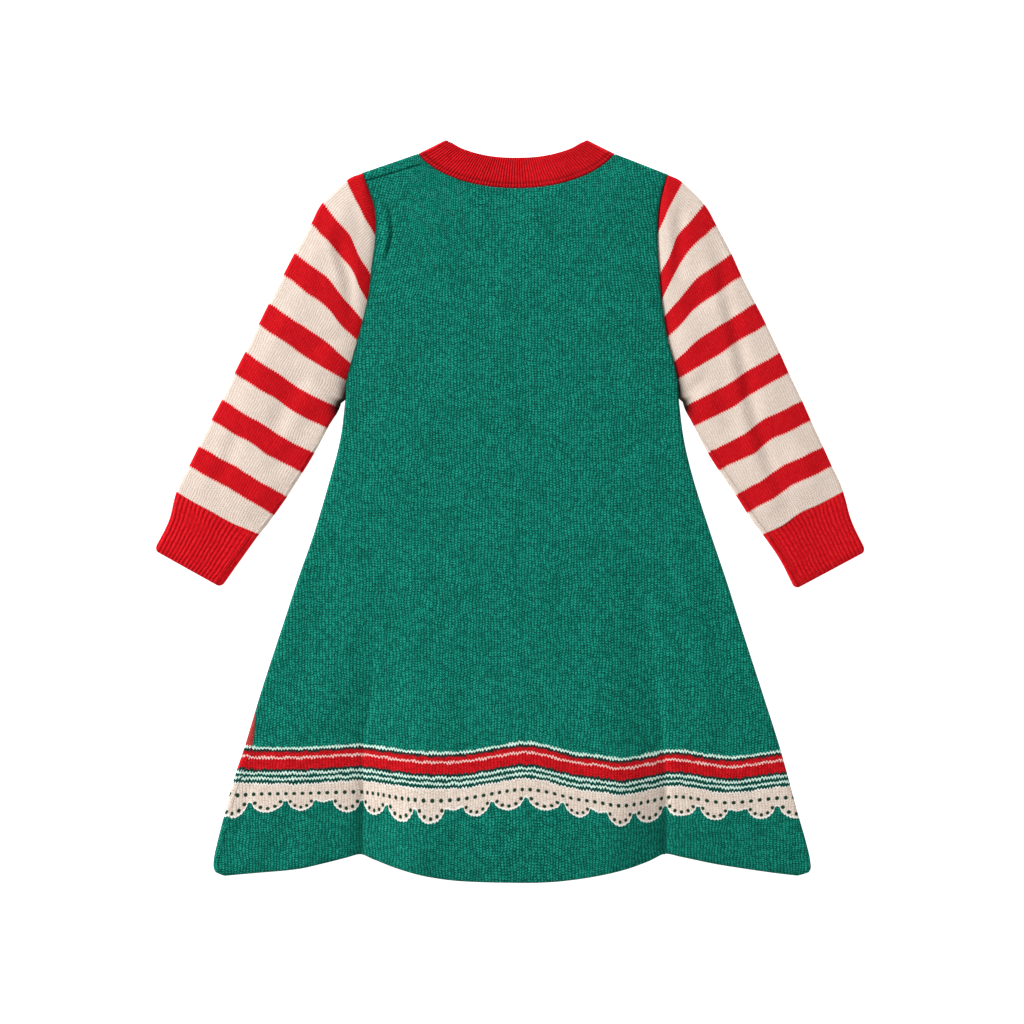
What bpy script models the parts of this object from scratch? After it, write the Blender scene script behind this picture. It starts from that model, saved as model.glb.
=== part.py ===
"""A child's knitted sweater dress, laid flat with its back up.

The body is a back and a front joined at the shoulders and sides, with two
set-in sleeves, two ribbed cuffs and a ribbed crew collar. Each piece is one
sheet of knit cloth: a grid for its outside is laid along the garment's
flattened rings, a second one lies a wall's thickness inside it, and the two
are bridged round the edge. That keeps the narrow seams open where two walls
turn round a fold together. The garment lies on z = 0, with +X to the right,
+Y towards the neck and +Z up.

Lengths in the tables are millimetres. "down" is the distance below the two
collar peaks, the way a dress is measured, and x is measured from the middle
of the whole garment. A fold's "turn" is the distance round it from its
outermost line, plus over the top and minus underneath.
"""

import math
from collections import namedtuple

import bmesh
import bpy
from mathutils import Vector

MM = 0.001

# Driving dimensions, in millimetres.
LENGTH = 556.9           # collar peaks to the lowest point of the hem
WALL = 2.0               # knit cloth of the panels and sleeves
SEAM_GAP = 0.3
FOLD_HEIGHT = 5.6        # two layers of cloth at a folded edge
FOLD_REACH = 10.0        # how far round a body fold its close columns go
SLEEVE_REACH = 8.0

RIB_WALL = 2.2           # ribbed cloth in its grooves
CUFF_HEIGHT = 5.8
CUFF_RIBS = 20           # ribs that show across a cuff
CUFF_RIB_RISE = 0.6
COLLAR_RIBS = 66         # ribs that show round the back of the neck
COLLAR_RIB_RISE = 0.5
BACK_COLLAR_GAP = 0.42   # wider, as the panels' curved edges run straight between columns
FRONT_COLLAR_GAP = 0.52

NECK_MIDDLE = 4.9
NECK_SEAM_HALF = 73.4    # half the width of the collar's seam
NECK_SEAM_DOWN = 11.0    # where that seam crosses the shoulder folds
BACK_NECK_DROP = 25.0
FRONT_NECK_DROP = 56.0
NECK_FREE_HALF = 53.5    # half the width of the collar's free edge
BACK_FREE_DROP = 13.5
FRONT_FREE_DROP = 44.0

SHOULDER_DOWN_LEFT = 25.5
SHOULDER_DOWN_RIGHT = 26.3
UNDERARM_DOWN = 196.0
UNDERARM_COURSE = 7.8
ROUND_FROM = 180.0       # the body's sides turn from seams into folds from here
ROUND_GROWTH = 26.0
HEM_DOWN = 551.5         # the hem's two corners
HEM_SHAPE_DOWN = 330.0   # rows take on the hem's wave from here down
FRONT_HEM_SHORT = 1.5    # the front's hem stays out of sight under the back's
FRONT_HEM_CORNER = 0.08   # but meets it at the corners, over this share of its width
SHOULDER_LEAN = 0.33     # sine of the shoulder folds' slope
COLLAR_LEAN = 0.48       # and of the collar's

SideRow = namedtuple("SideRow", "down left right")
SIDES = [
    SideRow(25.5, -110.6, 118.5),
    SideRow(38.0, -105.6, 114.4),
    SideRow(51.0, -101.6, 111.7),
    SideRow(70.0, -100.7, 110.6),
    SideRow(95.0, -103.7, 111.8),
    SideRow(120.0, -106.8, 113.9),
    SideRow(150.0, -114.3, 118.5),
    SideRow(168.0, -119.4, 123.4),
    SideRow(182.0, -122.8, 126.0),
    SideRow(196.0, -123.6, 127.0),
    SideRow(225.0, -127.0, 130.7),
    SideRow(255.0, -134.4, 137.8),
    SideRow(295.0, -145.5, 150.2),
    SideRow(331.0, -158.0, 162.3),
    SideRow(360.0, -168.1, 171.7),
    SideRow(413.0, -186.0, 188.8),
    SideRow(454.0, -198.7, 201.5),
    SideRow(484.0, -208.2, 209.8),
    SideRow(508.0, -214.3, 216.4),
    SideRow(527.0, -219.1, 222.1),
    SideRow(542.0, -221.9, 225.4),
    SideRow(549.0, -220.0, 224.2),
    SideRow(551.5, -214.0, 216.5),
]

HemPoint = namedtuple("HemPoint", "x down")
HEM = [
    HemPoint(-214.0, 551.5),
    HemPoint(-190.0, 549.3),
    HemPoint(-159.0, 546.7),
    HemPoint(-138.0, 542.3),
    HemPoint(-122.0, 538.3),
    HemPoint(-111.5, 536.2),
    HemPoint(-102.0, 539.6),
    HemPoint(-84.5, 546.0),
    HemPoint(-62.0, 552.0),
    HemPoint(-37.0, 555.5),
    HemPoint(10.0, 556.9),
    HemPoint(35.5, 556.0),
    HemPoint(61.5, 552.5),
    HemPoint(87.0, 546.7),
    HemPoint(104.5, 540.7),
    HemPoint(116.5, 535.7),
    HemPoint(128.0, 537.5),
    HemPoint(155.5, 543.0),
    HemPoint(199.0, 549.5),
    HemPoint(216.5, 551.5),
]

# The skirt's folds, by how far down they are: the lines of the two valleys,
# the rise of the wide hump between them, how deep the valleys dip, and how far
# the left side seam has turned on to the top.
FoldRow = namedtuple("FoldRow", "down valley_left valley_right hump dip seam_turn")
FOLDS = [
    FoldRow(280.0, -92.0, 96.0, 0.0, 0.0, 0.0),
    FoldRow(330.0, -96.0, 100.0, 1.2, 0.2, 0.0),
    FoldRow(380.0, -101.0, 106.0, 3.2, 0.7, 0.0),
    FoldRow(419.0, -105.0, 111.0, 5.2, 1.2, 0.2),
    FoldRow(454.0, -108.0, 115.0, 7.4, 1.9, 7.6),
    FoldRow(500.0, -110.0, 117.0, 9.6, 2.5, 6.8),
    FoldRow(557.0, -111.0, 117.0, 11.6, 2.9, 6.2),
]
VALLEY_HALF = 13.0
HUMP_FLANK_LEFT = 46.0
HUMP_FLANK_RIGHT = 42.0

CROWN_RISE = 2.1         # how much higher the middle lies than the folds
CROWN_REACH = 34.0
CROWN_DOWN = 20.0        # the crown starts here and is full a growth further down
CROWN_GROWTH = 60.0
NECK_LAY = 3.0           # how far the back neck sinks where no layer is under it
NECK_LAY_HALF = 34.0
NECK_LAY_DOWN = 56.0
NECK_LAY_REACH = 22.0

# A sleeve's courses, from the shoulder tip (0) to the cuff's seam (14) and
# edge (16). The stripes change colour at courses 1 to 13. "bow" is how far
# the course's middle stands out towards the neck.
Course = namedtuple("Course", "number outer_x outer_down inner_x inner_down bow")
LEFT_COURSES = [
    Course(0, -111.0, 25.6, -108.7, 31.0, 0.0),
    Course(1, -121.4, 30.5, -100.8, 71.0, 1.6),
    Course(2, -140.1, 47.2, -104.1, 101.0, 3.9),
    Course(3, -148.7, 62.8, -106.4, 120.5, 4.5),
    Course(4, -161.1, 85.2, -111.3, 135.0, 3.7),
    Course(5, -169.2, 100.8, -114.6, 150.0, 3.2),
    Course(6, -180.4, 123.0, -120.1, 167.5, 2.4),
    Course(7, -187.8, 138.0, -123.1, 180.4, 0.6),
    Course(8, -198.4, 159.7, -127.2, 199.8, -0.8),
    Course(9, -205.9, 174.7, -136.4, 214.3, -2.0),
    Course(10, -215.9, 195.7, -146.9, 233.0, -2.8),
    Course(11, -223.4, 210.0, -155.5, 247.2, -2.4),
    Course(12, -233.1, 230.2, -167.4, 265.9, -1.8),
    Course(13, -240.1, 244.5, -176.7, 279.0, -2.0),
    Course(14, -249.4, 264.7, -188.5, 296.2, -1.6),
    Course(15, -255.2, 286.5, -203.4, 317.0, -0.8),
    Course(16, -265.2, 306.4, -215.9, 334.5, 0.0),
]
RIGHT_COURSES = [
    Course(0, 118.9, 26.4, 116.7, 31.0, 0.0),
    Course(1, 129.0, 32.0, 111.0, 70.0, 1.6),
    Course(2, 145.6, 48.7, 112.2, 101.5, 4.3),
    Course(3, 154.6, 64.3, 114.1, 120.5, 4.9),
    Course(4, 165.9, 85.8, 115.8, 132.5, 3.3),
    Course(5, 173.2, 102.0, 117.6, 147.8, 1.8),
    Course(6, 183.9, 123.0, 123.0, 166.5, 2.0),
    Course(7, 191.7, 138.4, 126.3, 179.4, 0.4),
    Course(8, 201.9, 159.7, 130.8, 200.2, -0.9),
    Course(9, 208.5, 174.3, 138.4, 214.1, -1.8),
    Course(10, 218.7, 195.7, 149.4, 234.0, -0.9),
    Course(11, 225.1, 210.0, 157.6, 247.1, 0.0),
    Course(12, 234.9, 231.0, 170.2, 265.5, 0.6),
    Course(13, 240.9, 244.5, 178.6, 278.7, 0.4),
    Course(14, 249.3, 264.7, 190.2, 296.5, 0.0),
    Course(15, 255.7, 286.7, 202.3, 316.0, 0.0),
    Course(16, 265.2, 307.0, 214.6, 334.1, 0.0),
]
SLEEVE_SEAM_TURN = 5.4   # the underarm seam lies a little way over the top
SEAM_TURN_COURSES = 2.8  # and takes this many courses to turn there
UNDERARM_SEAM_GAP = 0.8  # wider, as the seam closes towards its inside
SLEEVE_ROUND_FROM = 6.8  # the sleeve's inner edge turns from a seam into a fold
SLEEVE_ROUND_COURSES = 1.4
NARROW_REACH = 0.35      # of a short course's length, at the shoulder tip
SLEEVE_CROWN = 1.9
SLEEVE_CROWN_REACH = 20.0
CREASE_CLEAR = 16.0      # creases fade out this near the inner edge

# A sleeve's soft creases: the courses each runs between, where it starts and
# ends across the sleeve (0 outer fold, 1 inner edge), its width and its depth.
Crease = namedtuple("Crease", "first last start end half depth")
LEFT_CREASES = [Crease(1.6, 5.4, 0.78, 0.52, 7.0, 1.2), Crease(6.0, 10.0, 0.85, 0.60, 8.0, 1.0)]
RIGHT_CREASES = [Crease(1.4, 4.6, 0.62, 0.42, 8.0, 1.2), Crease(9.4, 13.4, 0.72, 0.50, 7.0, 1.0)]

# Where the grids have their rows and columns.
SKIRT_DOWNS = [551.5, 549.0, 542.0, 522.0, 500.0, 475.0, 452.0, 440.0, 428.0, 416.0, 380.0, 335.0, 285.0, 240.0, 212.0]
ARMHOLE_COURSES = [7.8, 7.4, 7.0, 6.0, 5.0, 4.0, 3.0, 2.0, 1.5, 1.0, 0.7, 0.4]
SLEEVE_COURSES = [0.0, 0.2] + ARMHOLE_COURSES[::-1] + [8.2, 8.6, 9.0, 9.5, 10.0, 11.0, 12.0, 13.0, 14.0]
CUFF_COURSES = [14.0, 14.5, 15.0, 15.5, 16.0]
SHOULDER_STEPS = 3
NECK_ANGLES = [0, 13.6, 24, 34, 45, 57, 68, 79, 90]     # round half of the neckline
OUTER_FOLD_STEP = 45     # degrees
SLEEVE_TOP_STEPS = 7
SLEEVE_UNDER_STEPS = 3
COLLAR_FRONT_STEPS = 20
COLLAR_ROWS = [0.0, 0.5, 1.0]
FOLD_SHARES = [0.0, 0.2, 0.44, 1.0]
WRAP_SHARES = [0.0, 0.18, 0.31, 0.43, 0.55, 0.68, 1.0]

GREEN = (0.010, 0.195, 0.112, 1.0)
RED = (0.630, 0.006, 0.013, 1.0)
CREAM = (0.820, 0.708, 0.597, 1.0)
CLOTH_ROUGHNESS = 0.9
SHARP_ANGLE = math.radians(50)


def smooth(value):
    value = min(max(value, 0.0), 1.0)
    return value * value * (3 - 2 * value)


def between(low, high, share):
    return low + (high - low) * share


def read(table, key, column, at):
    """Reads a table's column at any place, on a smooth curve through its rows."""
    places = [getattr(row, key) for row in table]
    values = [getattr(row, column) for row in table]
    if at <= places[0]:
        return values[0]
    if at >= places[-1]:
        return values[-1]
    last = len(table) - 1
    i = max(n for n in range(last) if places[n] <= at)

    def slope(n):
        low, high = max(n - 1, 0), min(n + 1, last)
        return (values[high] - values[low]) / (places[high] - places[low])

    step = places[i + 1] - places[i]
    t = (at - places[i]) / step
    start = values[i] * (1 + 2 * t) * (1 - t)**2 + slope(i) * step * t * (1 - t)**2
    end = values[i + 1] * t * t * (3 - 2 * t) - slope(i + 1) * step * t * t * (1 - t)
    return start + end


class Fold:
    """A folded edge: two layers of cloth that meet in a half round."""

    def __init__(self, height):
        self.radius = height / 2
        self.quarter = self.radius * math.pi / 2

    def angle(self, turn):
        return min(max(turn / self.radius, -math.pi / 2), math.pi / 2)

    def inset(self, turn):
        """How far in from the outermost line a turn lies, seen from above."""
        flat = max(abs(turn) - self.quarter, 0.0)
        return self.radius * (1 - math.cos(self.angle(turn))) + flat

    def height(self, lift, top):
        """The height at a lift from -1 underneath to 1 on top, where the upper layer is top high."""
        return self.radius + lift * (self.radius if lift < 0 else top - self.radius)


BODY_FOLD = Fold(FOLD_HEIGHT)


def placed(x, down, height, outwards, lift):
    """A point of the outside, and the way out of the cloth there.

    outwards is the level way out of the garment at a fold, as (x, down), as
    long as the cosine of the cloth's slope.
    """
    point = Vector((x, LENGTH / 2 - down, height)) * MM
    return point, Vector((outwards[0], -outwards[1], lift)).normalized()


# The body's outline and how it lies.

def side(edge, down):
    return read(SIDES, "down", edge, down)


def neck_drop(x, half, drop, power, shape):
    """A neckline's distance below its two ends, at x."""
    u = min(abs(x - NECK_MIDDLE) / half, 1.0)
    return drop * (1 - u**power)**shape


def seam_drop(x, drop, gap=0.0):
    return neck_drop(x, NECK_SEAM_HALF - gap, drop - gap, 2.2, 0.75)


def free_drop(x, drop):
    return neck_drop(x, NECK_FREE_HALF, drop, 2.4, 1.0)


def roundness(down):
    """1 where the body's edge is a fold, 0 where a sleeve is sewn to it."""
    return smooth((down - ROUND_FROM) / ROUND_GROWTH)


def neck_lay(x, down):
    """How far the back of the neck sinks to the floor, between the front's shoulders."""
    across = smooth(1 - abs(x - NECK_MIDDLE) / NECK_LAY_HALF)
    return NECK_LAY * across * smooth((NECK_LAY_DOWN - down) / NECK_LAY_REACH)


def back_height(x, down):
    """The back's outer height, away from its folds."""
    fold = {name: read(FOLDS, "down", name, down) for name in FoldRow._fields[1:]}
    edges = side("left", down), side("right", down)
    inset = min(x - edges[0], edges[1] - x)
    crown = CROWN_RISE * smooth(inset / CROWN_REACH) * smooth((down - CROWN_DOWN) / CROWN_GROWTH)
    hump = smooth((x - fold["valley_left"]) / HUMP_FLANK_LEFT)
    hump *= smooth((fold["valley_right"] - x) / HUMP_FLANK_RIGHT) * fold["hump"]
    for valley in (fold["valley_left"], fold["valley_right"]):
        hump -= fold["dip"] * math.exp(-((x - valley) / VALLEY_HALF)**2)
    return FOLD_HEIGHT + crown + hump - neck_lay(x, down)


def body_columns(left_shares):
    """Places across the body: round the left fold, over to the right, round that.

    A place in the middle is its share of the way between the two folds' close
    columns, spaced so that the neckline's ends fall on columns.
    """
    left = side("left", SHOULDER_DOWN_LEFT) + FOLD_REACH
    right = side("right", SHOULDER_DOWN_RIGHT) - FOLD_REACH
    tips = NECK_MIDDLE - NECK_SEAM_HALF, NECK_MIDDLE + NECK_SEAM_HALF
    middle = [between(left, tips[0], n / SHOULDER_STEPS) for n in range(1, SHOULDER_STEPS)]
    angles = NECK_ANGLES + [180 - angle for angle in reversed(NECK_ANGLES[:-1])]
    middle += [NECK_MIDDLE - NECK_SEAM_HALF * math.cos(math.radians(angle)) for angle in angles]
    middle += [between(tips[1], right, n / SHOULDER_STEPS) for n in range(1, SHOULDER_STEPS)]
    columns = [("left", share) for share in left_shares]
    columns += [("middle", (x - left) / (right - left)) for x in middle]
    return columns + [("right", share) for share in reversed(FOLD_SHARES)]


# A row of the body: how far down it starts and ends, how much of the hem's and
# of the top's outline it takes, and its turn round the shoulder folds.
BodyRow = namedtuple("BodyRow", "left_down right_down hem top turn")


def body_rows():
    rows = []
    for down in SKIRT_DOWNS:
        wave = smooth((down - HEM_SHAPE_DOWN) / (HEM_DOWN - HEM_SHAPE_DOWN))
        rows.append(BodyRow(down, down, wave, 0.0, FOLD_REACH))
    for number in ARMHOLE_COURSES:
        left = read(LEFT_COURSES, "number", "inner_down", number)
        right = read(RIGHT_COURSES, "number", "inner_down", number)
        top = smooth((UNDERARM_DOWN - left) / (UNDERARM_DOWN - SHOULDER_DOWN_LEFT))
        rows.append(BodyRow(left, right, 0.0, top, FOLD_REACH))
    for share in reversed(FOLD_SHARES):
        turn = between(SEAM_GAP / 2, FOLD_REACH, share)
        inset = BODY_FOLD.inset(turn)
        rows.append(BodyRow(SHOULDER_DOWN_LEFT + inset, SHOULDER_DOWN_RIGHT + inset, 0.0, 1.0, turn))
    return rows


def top_outline(x, drop):
    """How far down a panel's upper edge is at x: a shoulder fold or the neckline."""
    ends = side("left", SHOULDER_DOWN_LEFT), side("right", SHOULDER_DOWN_RIGHT)
    if x < NECK_MIDDLE - NECK_SEAM_HALF:
        share = (x - ends[0]) / (NECK_MIDDLE - NECK_SEAM_HALF - ends[0])
        return between(SHOULDER_DOWN_LEFT, NECK_SEAM_DOWN, share)
    if x > NECK_MIDDLE + NECK_SEAM_HALF:
        share = (x - ends[1]) / (NECK_MIDDLE + NECK_SEAM_HALF - ends[1])
        return between(SHOULDER_DOWN_RIGHT, NECK_SEAM_DOWN, share)
    return NECK_SEAM_DOWN + seam_drop(x, drop)


def body_point(layer, column, row):
    """The outside of the back (layer 1) or the front (layer -1), and the way out of it."""
    fold = BODY_FOLD
    place, share = column
    edge_down = row.right_down if place == "right" else row.left_down
    ends = side("left", row.left_down), side("right", row.right_down)
    lift, outwards = 1.0, [0.0, 0.0]
    if place == "middle":
        bounds = [between(FOLD_REACH, fold.inset(FOLD_REACH), roundness(down))
                  for down in (row.left_down, row.right_down)]
        x = between(ends[0] + bounds[0], ends[1] - bounds[1], share)
    else:
        seam = read(FOLDS, "down", "seam_turn", edge_down) if place == "left" else 0.0
        turn = between(seam + layer * SEAM_GAP / 2, layer * FOLD_REACH, share)
        rounded = roundness(edge_down)
        inset = between(share * FOLD_REACH, fold.inset(turn), rounded)
        lift = between(1.0, layer * math.sin(fold.angle(turn)), rounded)
        x = ends[0] + inset if place == "left" else ends[1] - inset
        outwards[0] = math.cos(fold.angle(turn)) * rounded * (-1 if place == "left" else 1)

    across = (x - ends[0]) / (ends[1] - ends[0])
    down = between(row.left_down, row.right_down, across)
    hem_x = between(HEM[0].x, HEM[-1].x, across)
    down += row.hem * (read(HEM, "x", "down", hem_x) - HEM_DOWN)
    if layer < 0:
        down -= FRONT_HEM_SHORT * row.hem * smooth(min(across, 1 - across) / FRONT_HEM_CORNER)
    drop = BACK_NECK_DROP if layer > 0 else FRONT_NECK_DROP
    top_x = between(side("left", SHOULDER_DOWN_LEFT), side("right", SHOULDER_DOWN_RIGHT), across)
    level = between(SHOULDER_DOWN_LEFT, SHOULDER_DOWN_RIGHT, across)
    down += row.top * (top_outline(top_x, drop) - level)

    if row.top == 1:
        inset = fold.inset(row.turn)
        if abs(top_x - NECK_MIDDLE) < NECK_SEAM_HALF:
            inset = max(down - NECK_SEAM_DOWN, inset)
        angle = math.acos(1 - min(inset / fold.radius, 1.0))
        lift *= math.sin(angle)
        lean = SHOULDER_LEAN if top_x < NECK_MIDDLE else -SHOULDER_LEAN
        outwards[0] -= lean * math.cos(angle)
        outwards[1] -= math.sqrt(1 - lean * lean) * math.cos(angle)
    height = fold.height(layer * lift, back_height(x, down))
    return placed(x, down, height, outwards, layer * lift)


# The sleeves and cuffs.

def course_ends(courses, number):
    """A course's outer and inner end, and its bow."""
    values = [read(courses, "number", name, number) for name in Course._fields[1:]]
    outer, inner, bow = values[0:2], values[2:4], values[4]
    if number <= UNDERARM_COURSE:
        edge, gap = ("left", -SEAM_GAP) if outer[0] < 0 else ("right", SEAM_GAP)
        inner[0] = side(edge, inner[1]) + gap
    return outer, inner, bow


def on_course(courses, number, share, shift=0.0):
    """A point on a course, its share of the way from the outer fold to the inner edge.

    shift moves it along the sleeve, towards the cuff.
    """
    outer, inner, bow = course_ends(courses, number)
    run = inner[0] - outer[0], inner[1] - outer[1]
    length = math.hypot(*run)
    along = abs(run[1]) / length, abs(run[0]) / length
    outwards = 1 if outer[0] < 0 else -1
    stand = 4 * share * (1 - share) * bow - shift
    x = between(outer[0], inner[0], share) + outwards * along[0] * stand
    return x, between(outer[1], inner[1], share) - along[1] * stand


def course_length(courses, number):
    outer, inner, _ = course_ends(courses, number)
    return math.dist(outer, inner)


def sleeve_height(courses, creases, number, share):
    length = course_length(courses, number)
    crown = smooth(share * length / SLEEVE_CROWN_REACH)
    crown *= smooth((1 - share) * length / SLEEVE_CROWN_REACH) * SLEEVE_CROWN
    for crease in creases:
        run = (number - crease.first) / (crease.last - crease.first)
        if 0 < run < 1:
            off = (share - between(crease.start, crease.end, run)) * length / crease.half
            fade = math.sin(math.pi * run) * smooth((1 - share) * length / CREASE_CLEAR)
            crown -= crease.depth * fade * math.exp(-off * off)
    return FOLD_HEIGHT + crown


def sleeve_columns(top_steps, under_steps):
    """Places round a sleeve: from its seam over the top, round the outer fold, back underneath."""
    columns = [("inner_top", share) for share in FOLD_SHARES]
    columns += [("top", 1 - n / top_steps) for n in range(1, top_steps)]
    columns += [("outer", math.radians(angle)) for angle in range(90, -91, -OUTER_FOLD_STEP)]
    columns += [("under", n / under_steps) for n in range(1, under_steps)]
    return columns + [("inner_under", share) for share in reversed(WRAP_SHARES)]


def sleeve_point(courses, fold, column, number, height, shift=0.0):
    """The outside of a sleeve or cuff, and the way out of it."""
    place, value = column
    length = course_length(courses, number)
    reach = min(SLEEVE_REACH, NARROW_REACH * length)
    rounded = smooth((number - SLEEVE_ROUND_FROM) / SLEEVE_ROUND_COURSES)
    seam = SLEEVE_SEAM_TURN * smooth((number - UNDERARM_COURSE) / SEAM_TURN_COURSES)
    inner_inset = between(reach, fold.inset(SLEEVE_REACH) * reach / SLEEVE_REACH, rounded)
    lift, slope = (1.0 if place in ("inner_top", "top") else -1.0), 0.0
    if place == "outer":
        share, lift = fold.inset(value * fold.radius) / length, math.sin(value)
        slope = -math.cos(value)
    elif place in ("top", "under"):
        share = between(fold.radius, length - inner_inset, value) / length
    else:
        sign = 1 if place == "inner_top" else -1
        turn = between(seam + sign * UNDERARM_SEAM_GAP / 2, sign * SLEEVE_REACH, value)
        share = 1 - between(value * reach, fold.inset(turn), rounded) / length
        lift = between(sign, math.sin(fold.angle(turn)), rounded)
        slope = math.cos(fold.angle(turn)) * rounded
    x, down = on_course(courses, number, share, shift)
    outer, inner, _ = course_ends(courses, number)
    outwards = [slope * (inner[i] - outer[i]) / length for i in range(2)]
    return placed(x, down, fold.height(lift, height(number, share)), outwards, lift)


# The collar.

def neck_line(half, drop_at, base):
    """A neckline as points from its left end to its right, with the length to each."""
    steps = 240
    points, lengths = [], [0.0]
    for n in range(steps + 1):
        x = NECK_MIDDLE - half * math.cos(math.pi * n / steps)
        points.append((x, base + drop_at(x)))
        if n:
            lengths.append(lengths[-1] + math.dist(points[-1], points[-2]))
    return points, lengths


def along_line(line, distance):
    points, lengths = line
    i = max(n for n in range(len(lengths) - 1) if lengths[n] <= distance or n == 0)
    t = min((distance - lengths[i]) / (lengths[i + 1] - lengths[i]), 1.0)
    return [between(a, b, t) for a, b in zip(points[i], points[i + 1])]


# Building the pieces.

def cloth_of(piece, color):
    cloth = bpy.data.materials.new(f"{piece} cotton")
    cloth.use_nodes = True
    shader = cloth.node_tree.nodes["Principled BSDF"]
    shader.inputs["Base Color"].default_value = color
    shader.inputs["Roughness"].default_value = CLOTH_ROUGHNESS
    shader.inputs["Metallic"].default_value = 0.0
    cloth.diffuse_color = color
    return cloth


def sheet(name, columns, rows, place, color, collection, flip=False, wall=WALL, rise=None):
    """A sheet of cloth whose grid point at each column and row lies where place says.

    rise gives how far a column's rib stands out of the cloth's outside.
    """
    across, up = len(columns) - 1, len(rows) - 1
    cloth_mesh = bmesh.new()
    for inside in (False, True):
        grid = bmesh.ops.create_grid(cloth_mesh, x_segments=across, y_segments=up, size=0.5)
        for vert in grid["verts"]:
            column = columns[round((vert.co.x + 0.5) * across)]
            row = rows[round((vert.co.y + 0.5) * up)]
            point, outwards = place(column, row)
            if inside:
                vert.co = point - outwards * wall * MM
            else:
                vert.co = point + outwards * (rise(column) if rise else 0.0) * MM
        if inside != flip:
            faces = {face for vert in grid["verts"] for face in vert.link_faces}
            bmesh.ops.reverse_faces(cloth_mesh, faces=list(faces))
    rims = [edge for edge in cloth_mesh.edges if edge.is_boundary]
    bmesh.ops.bridge_loops(cloth_mesh, edges=rims)
    mesh = bpy.data.meshes.new(name)
    cloth_mesh.to_mesh(mesh)
    cloth_mesh.free()
    mesh.materials.append(cloth_of(name, color))
    mesh.shade_smooth()
    mesh.set_sharp_from_angle(angle=SHARP_ANGLE)
    piece = bpy.data.objects.new(name, mesh)
    collection.objects.link(piece)
    return piece


def build_body(collection):
    for name, layer, left_shares in (("back", 1, FOLD_SHARES), ("front", -1, WRAP_SHARES)):
        sheet(name, body_columns(left_shares), body_rows(),
              lambda column, row, layer=layer: body_point(layer, column, row),
              GREEN, collection, flip=layer < 0)


def build_sleeve(name, courses, creases, collection):
    def place(column, number):
        return sleeve_point(courses, BODY_FOLD, column, number,
                            lambda *at: sleeve_height(courses, creases, *at))

    sheet(name, sleeve_columns(SLEEVE_TOP_STEPS, SLEEVE_UNDER_STEPS), SLEEVE_COURSES, place,
          CREAM, collection, flip=courses[0].outer_x > 0)


def build_cuff(name, courses, collection):
    """A ribbed cuff. Its ribs stand on the side that shows; the side it rests on is plain."""
    fold = Fold(CUFF_HEIGHT)
    steps = 2 * CUFF_RIBS

    def rise(column):
        return CUFF_RIB_RISE if column[0] == "top" and round(column[1] * steps) % 2 else 0.0

    def place(column, number):
        return sleeve_point(courses, fold, column, number, lambda *_: CUFF_HEIGHT, SEAM_GAP)

    sheet(name, sleeve_columns(steps, SLEEVE_UNDER_STEPS), CUFF_COURSES, place, RED, collection,
          flip=courses[0].outer_x > 0, wall=RIB_WALL, rise=rise)


def build_collar(collection):
    """A ribbed band: from its join over the back of the neck, then under the front of it."""
    fold = BODY_FOLD
    lines = {}
    for layer, seam, gap, free in ((1, BACK_NECK_DROP, BACK_COLLAR_GAP, BACK_FREE_DROP),
                                   (-1, FRONT_NECK_DROP, FRONT_COLLAR_GAP, FRONT_FREE_DROP)):
        lines[layer] = (
            neck_line(NECK_SEAM_HALF - gap, lambda x, d=seam, g=gap: seam_drop(x, d, g), NECK_SEAM_DOWN),
            neck_line(NECK_FREE_HALF, lambda x, d=free: free_drop(x, d), 0.0))
    steps = 2 * COLLAR_RIBS
    half_round = [math.radians(angle) * fold.radius for angle in range(-60, 61, 30)]
    columns = [("back", n / steps) for n in range(steps + 1)]
    columns += [("right", turn) for turn in reversed(half_round)]
    columns += [("front", 1 - n / COLLAR_FRONT_STEPS) for n in range(COLLAR_FRONT_STEPS + 1)]
    columns += [("left", turn) for turn in half_round]

    def place(column, share):
        where, value = column
        turned = where in ("left", "right")
        layer = 1 if where == "back" or turned and value >= 0 else -1
        ends = []
        for line in lines[layer]:
            total = line[1][-1]
            distance = fold.inset(value) if turned else between(fold.radius, total - fold.radius, value)
            ends.append(along_line(line, total - distance if where == "right" else distance))
        x, down = [between(a, b, share) for a, b in zip(*ends)]
        angle = fold.angle(value) if turned else layer * math.pi / 2
        lean = (-COLLAR_LEAN if where == "left" else COLLAR_LEAN)
        outwards = lean * math.cos(angle), -math.sqrt(1 - lean * lean) * math.cos(angle)
        lift = math.sin(angle)
        return placed(x, down, fold.height(lift, back_height(x, down)), outwards, lift)

    def rise(column):
        return COLLAR_RIB_RISE if column[0] == "back" and round(column[1] * steps) % 2 else 0.0

    sheet("collar", columns, COLLAR_ROWS, place, RED, collection, wall=RIB_WALL, rise=rise)


def main():
    for thing in list(bpy.data.objects):
        bpy.data.objects.remove(thing, do_unlink=True)
    collection = bpy.data.collections.new("Sweater dress")
    bpy.context.scene.collection.children.link(collection)
    build_body(collection)
    build_sleeve("sleeve_left", LEFT_COURSES, LEFT_CREASES, collection)
    build_sleeve("sleeve_right", RIGHT_COURSES, RIGHT_CREASES, collection)
    build_cuff("cuff_left", LEFT_COURSES, collection)
    build_cuff("cuff_right", RIGHT_COURSES, collection)
    build_collar(collection)


main()
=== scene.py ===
import math

import bpy
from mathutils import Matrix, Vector, noise


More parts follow.
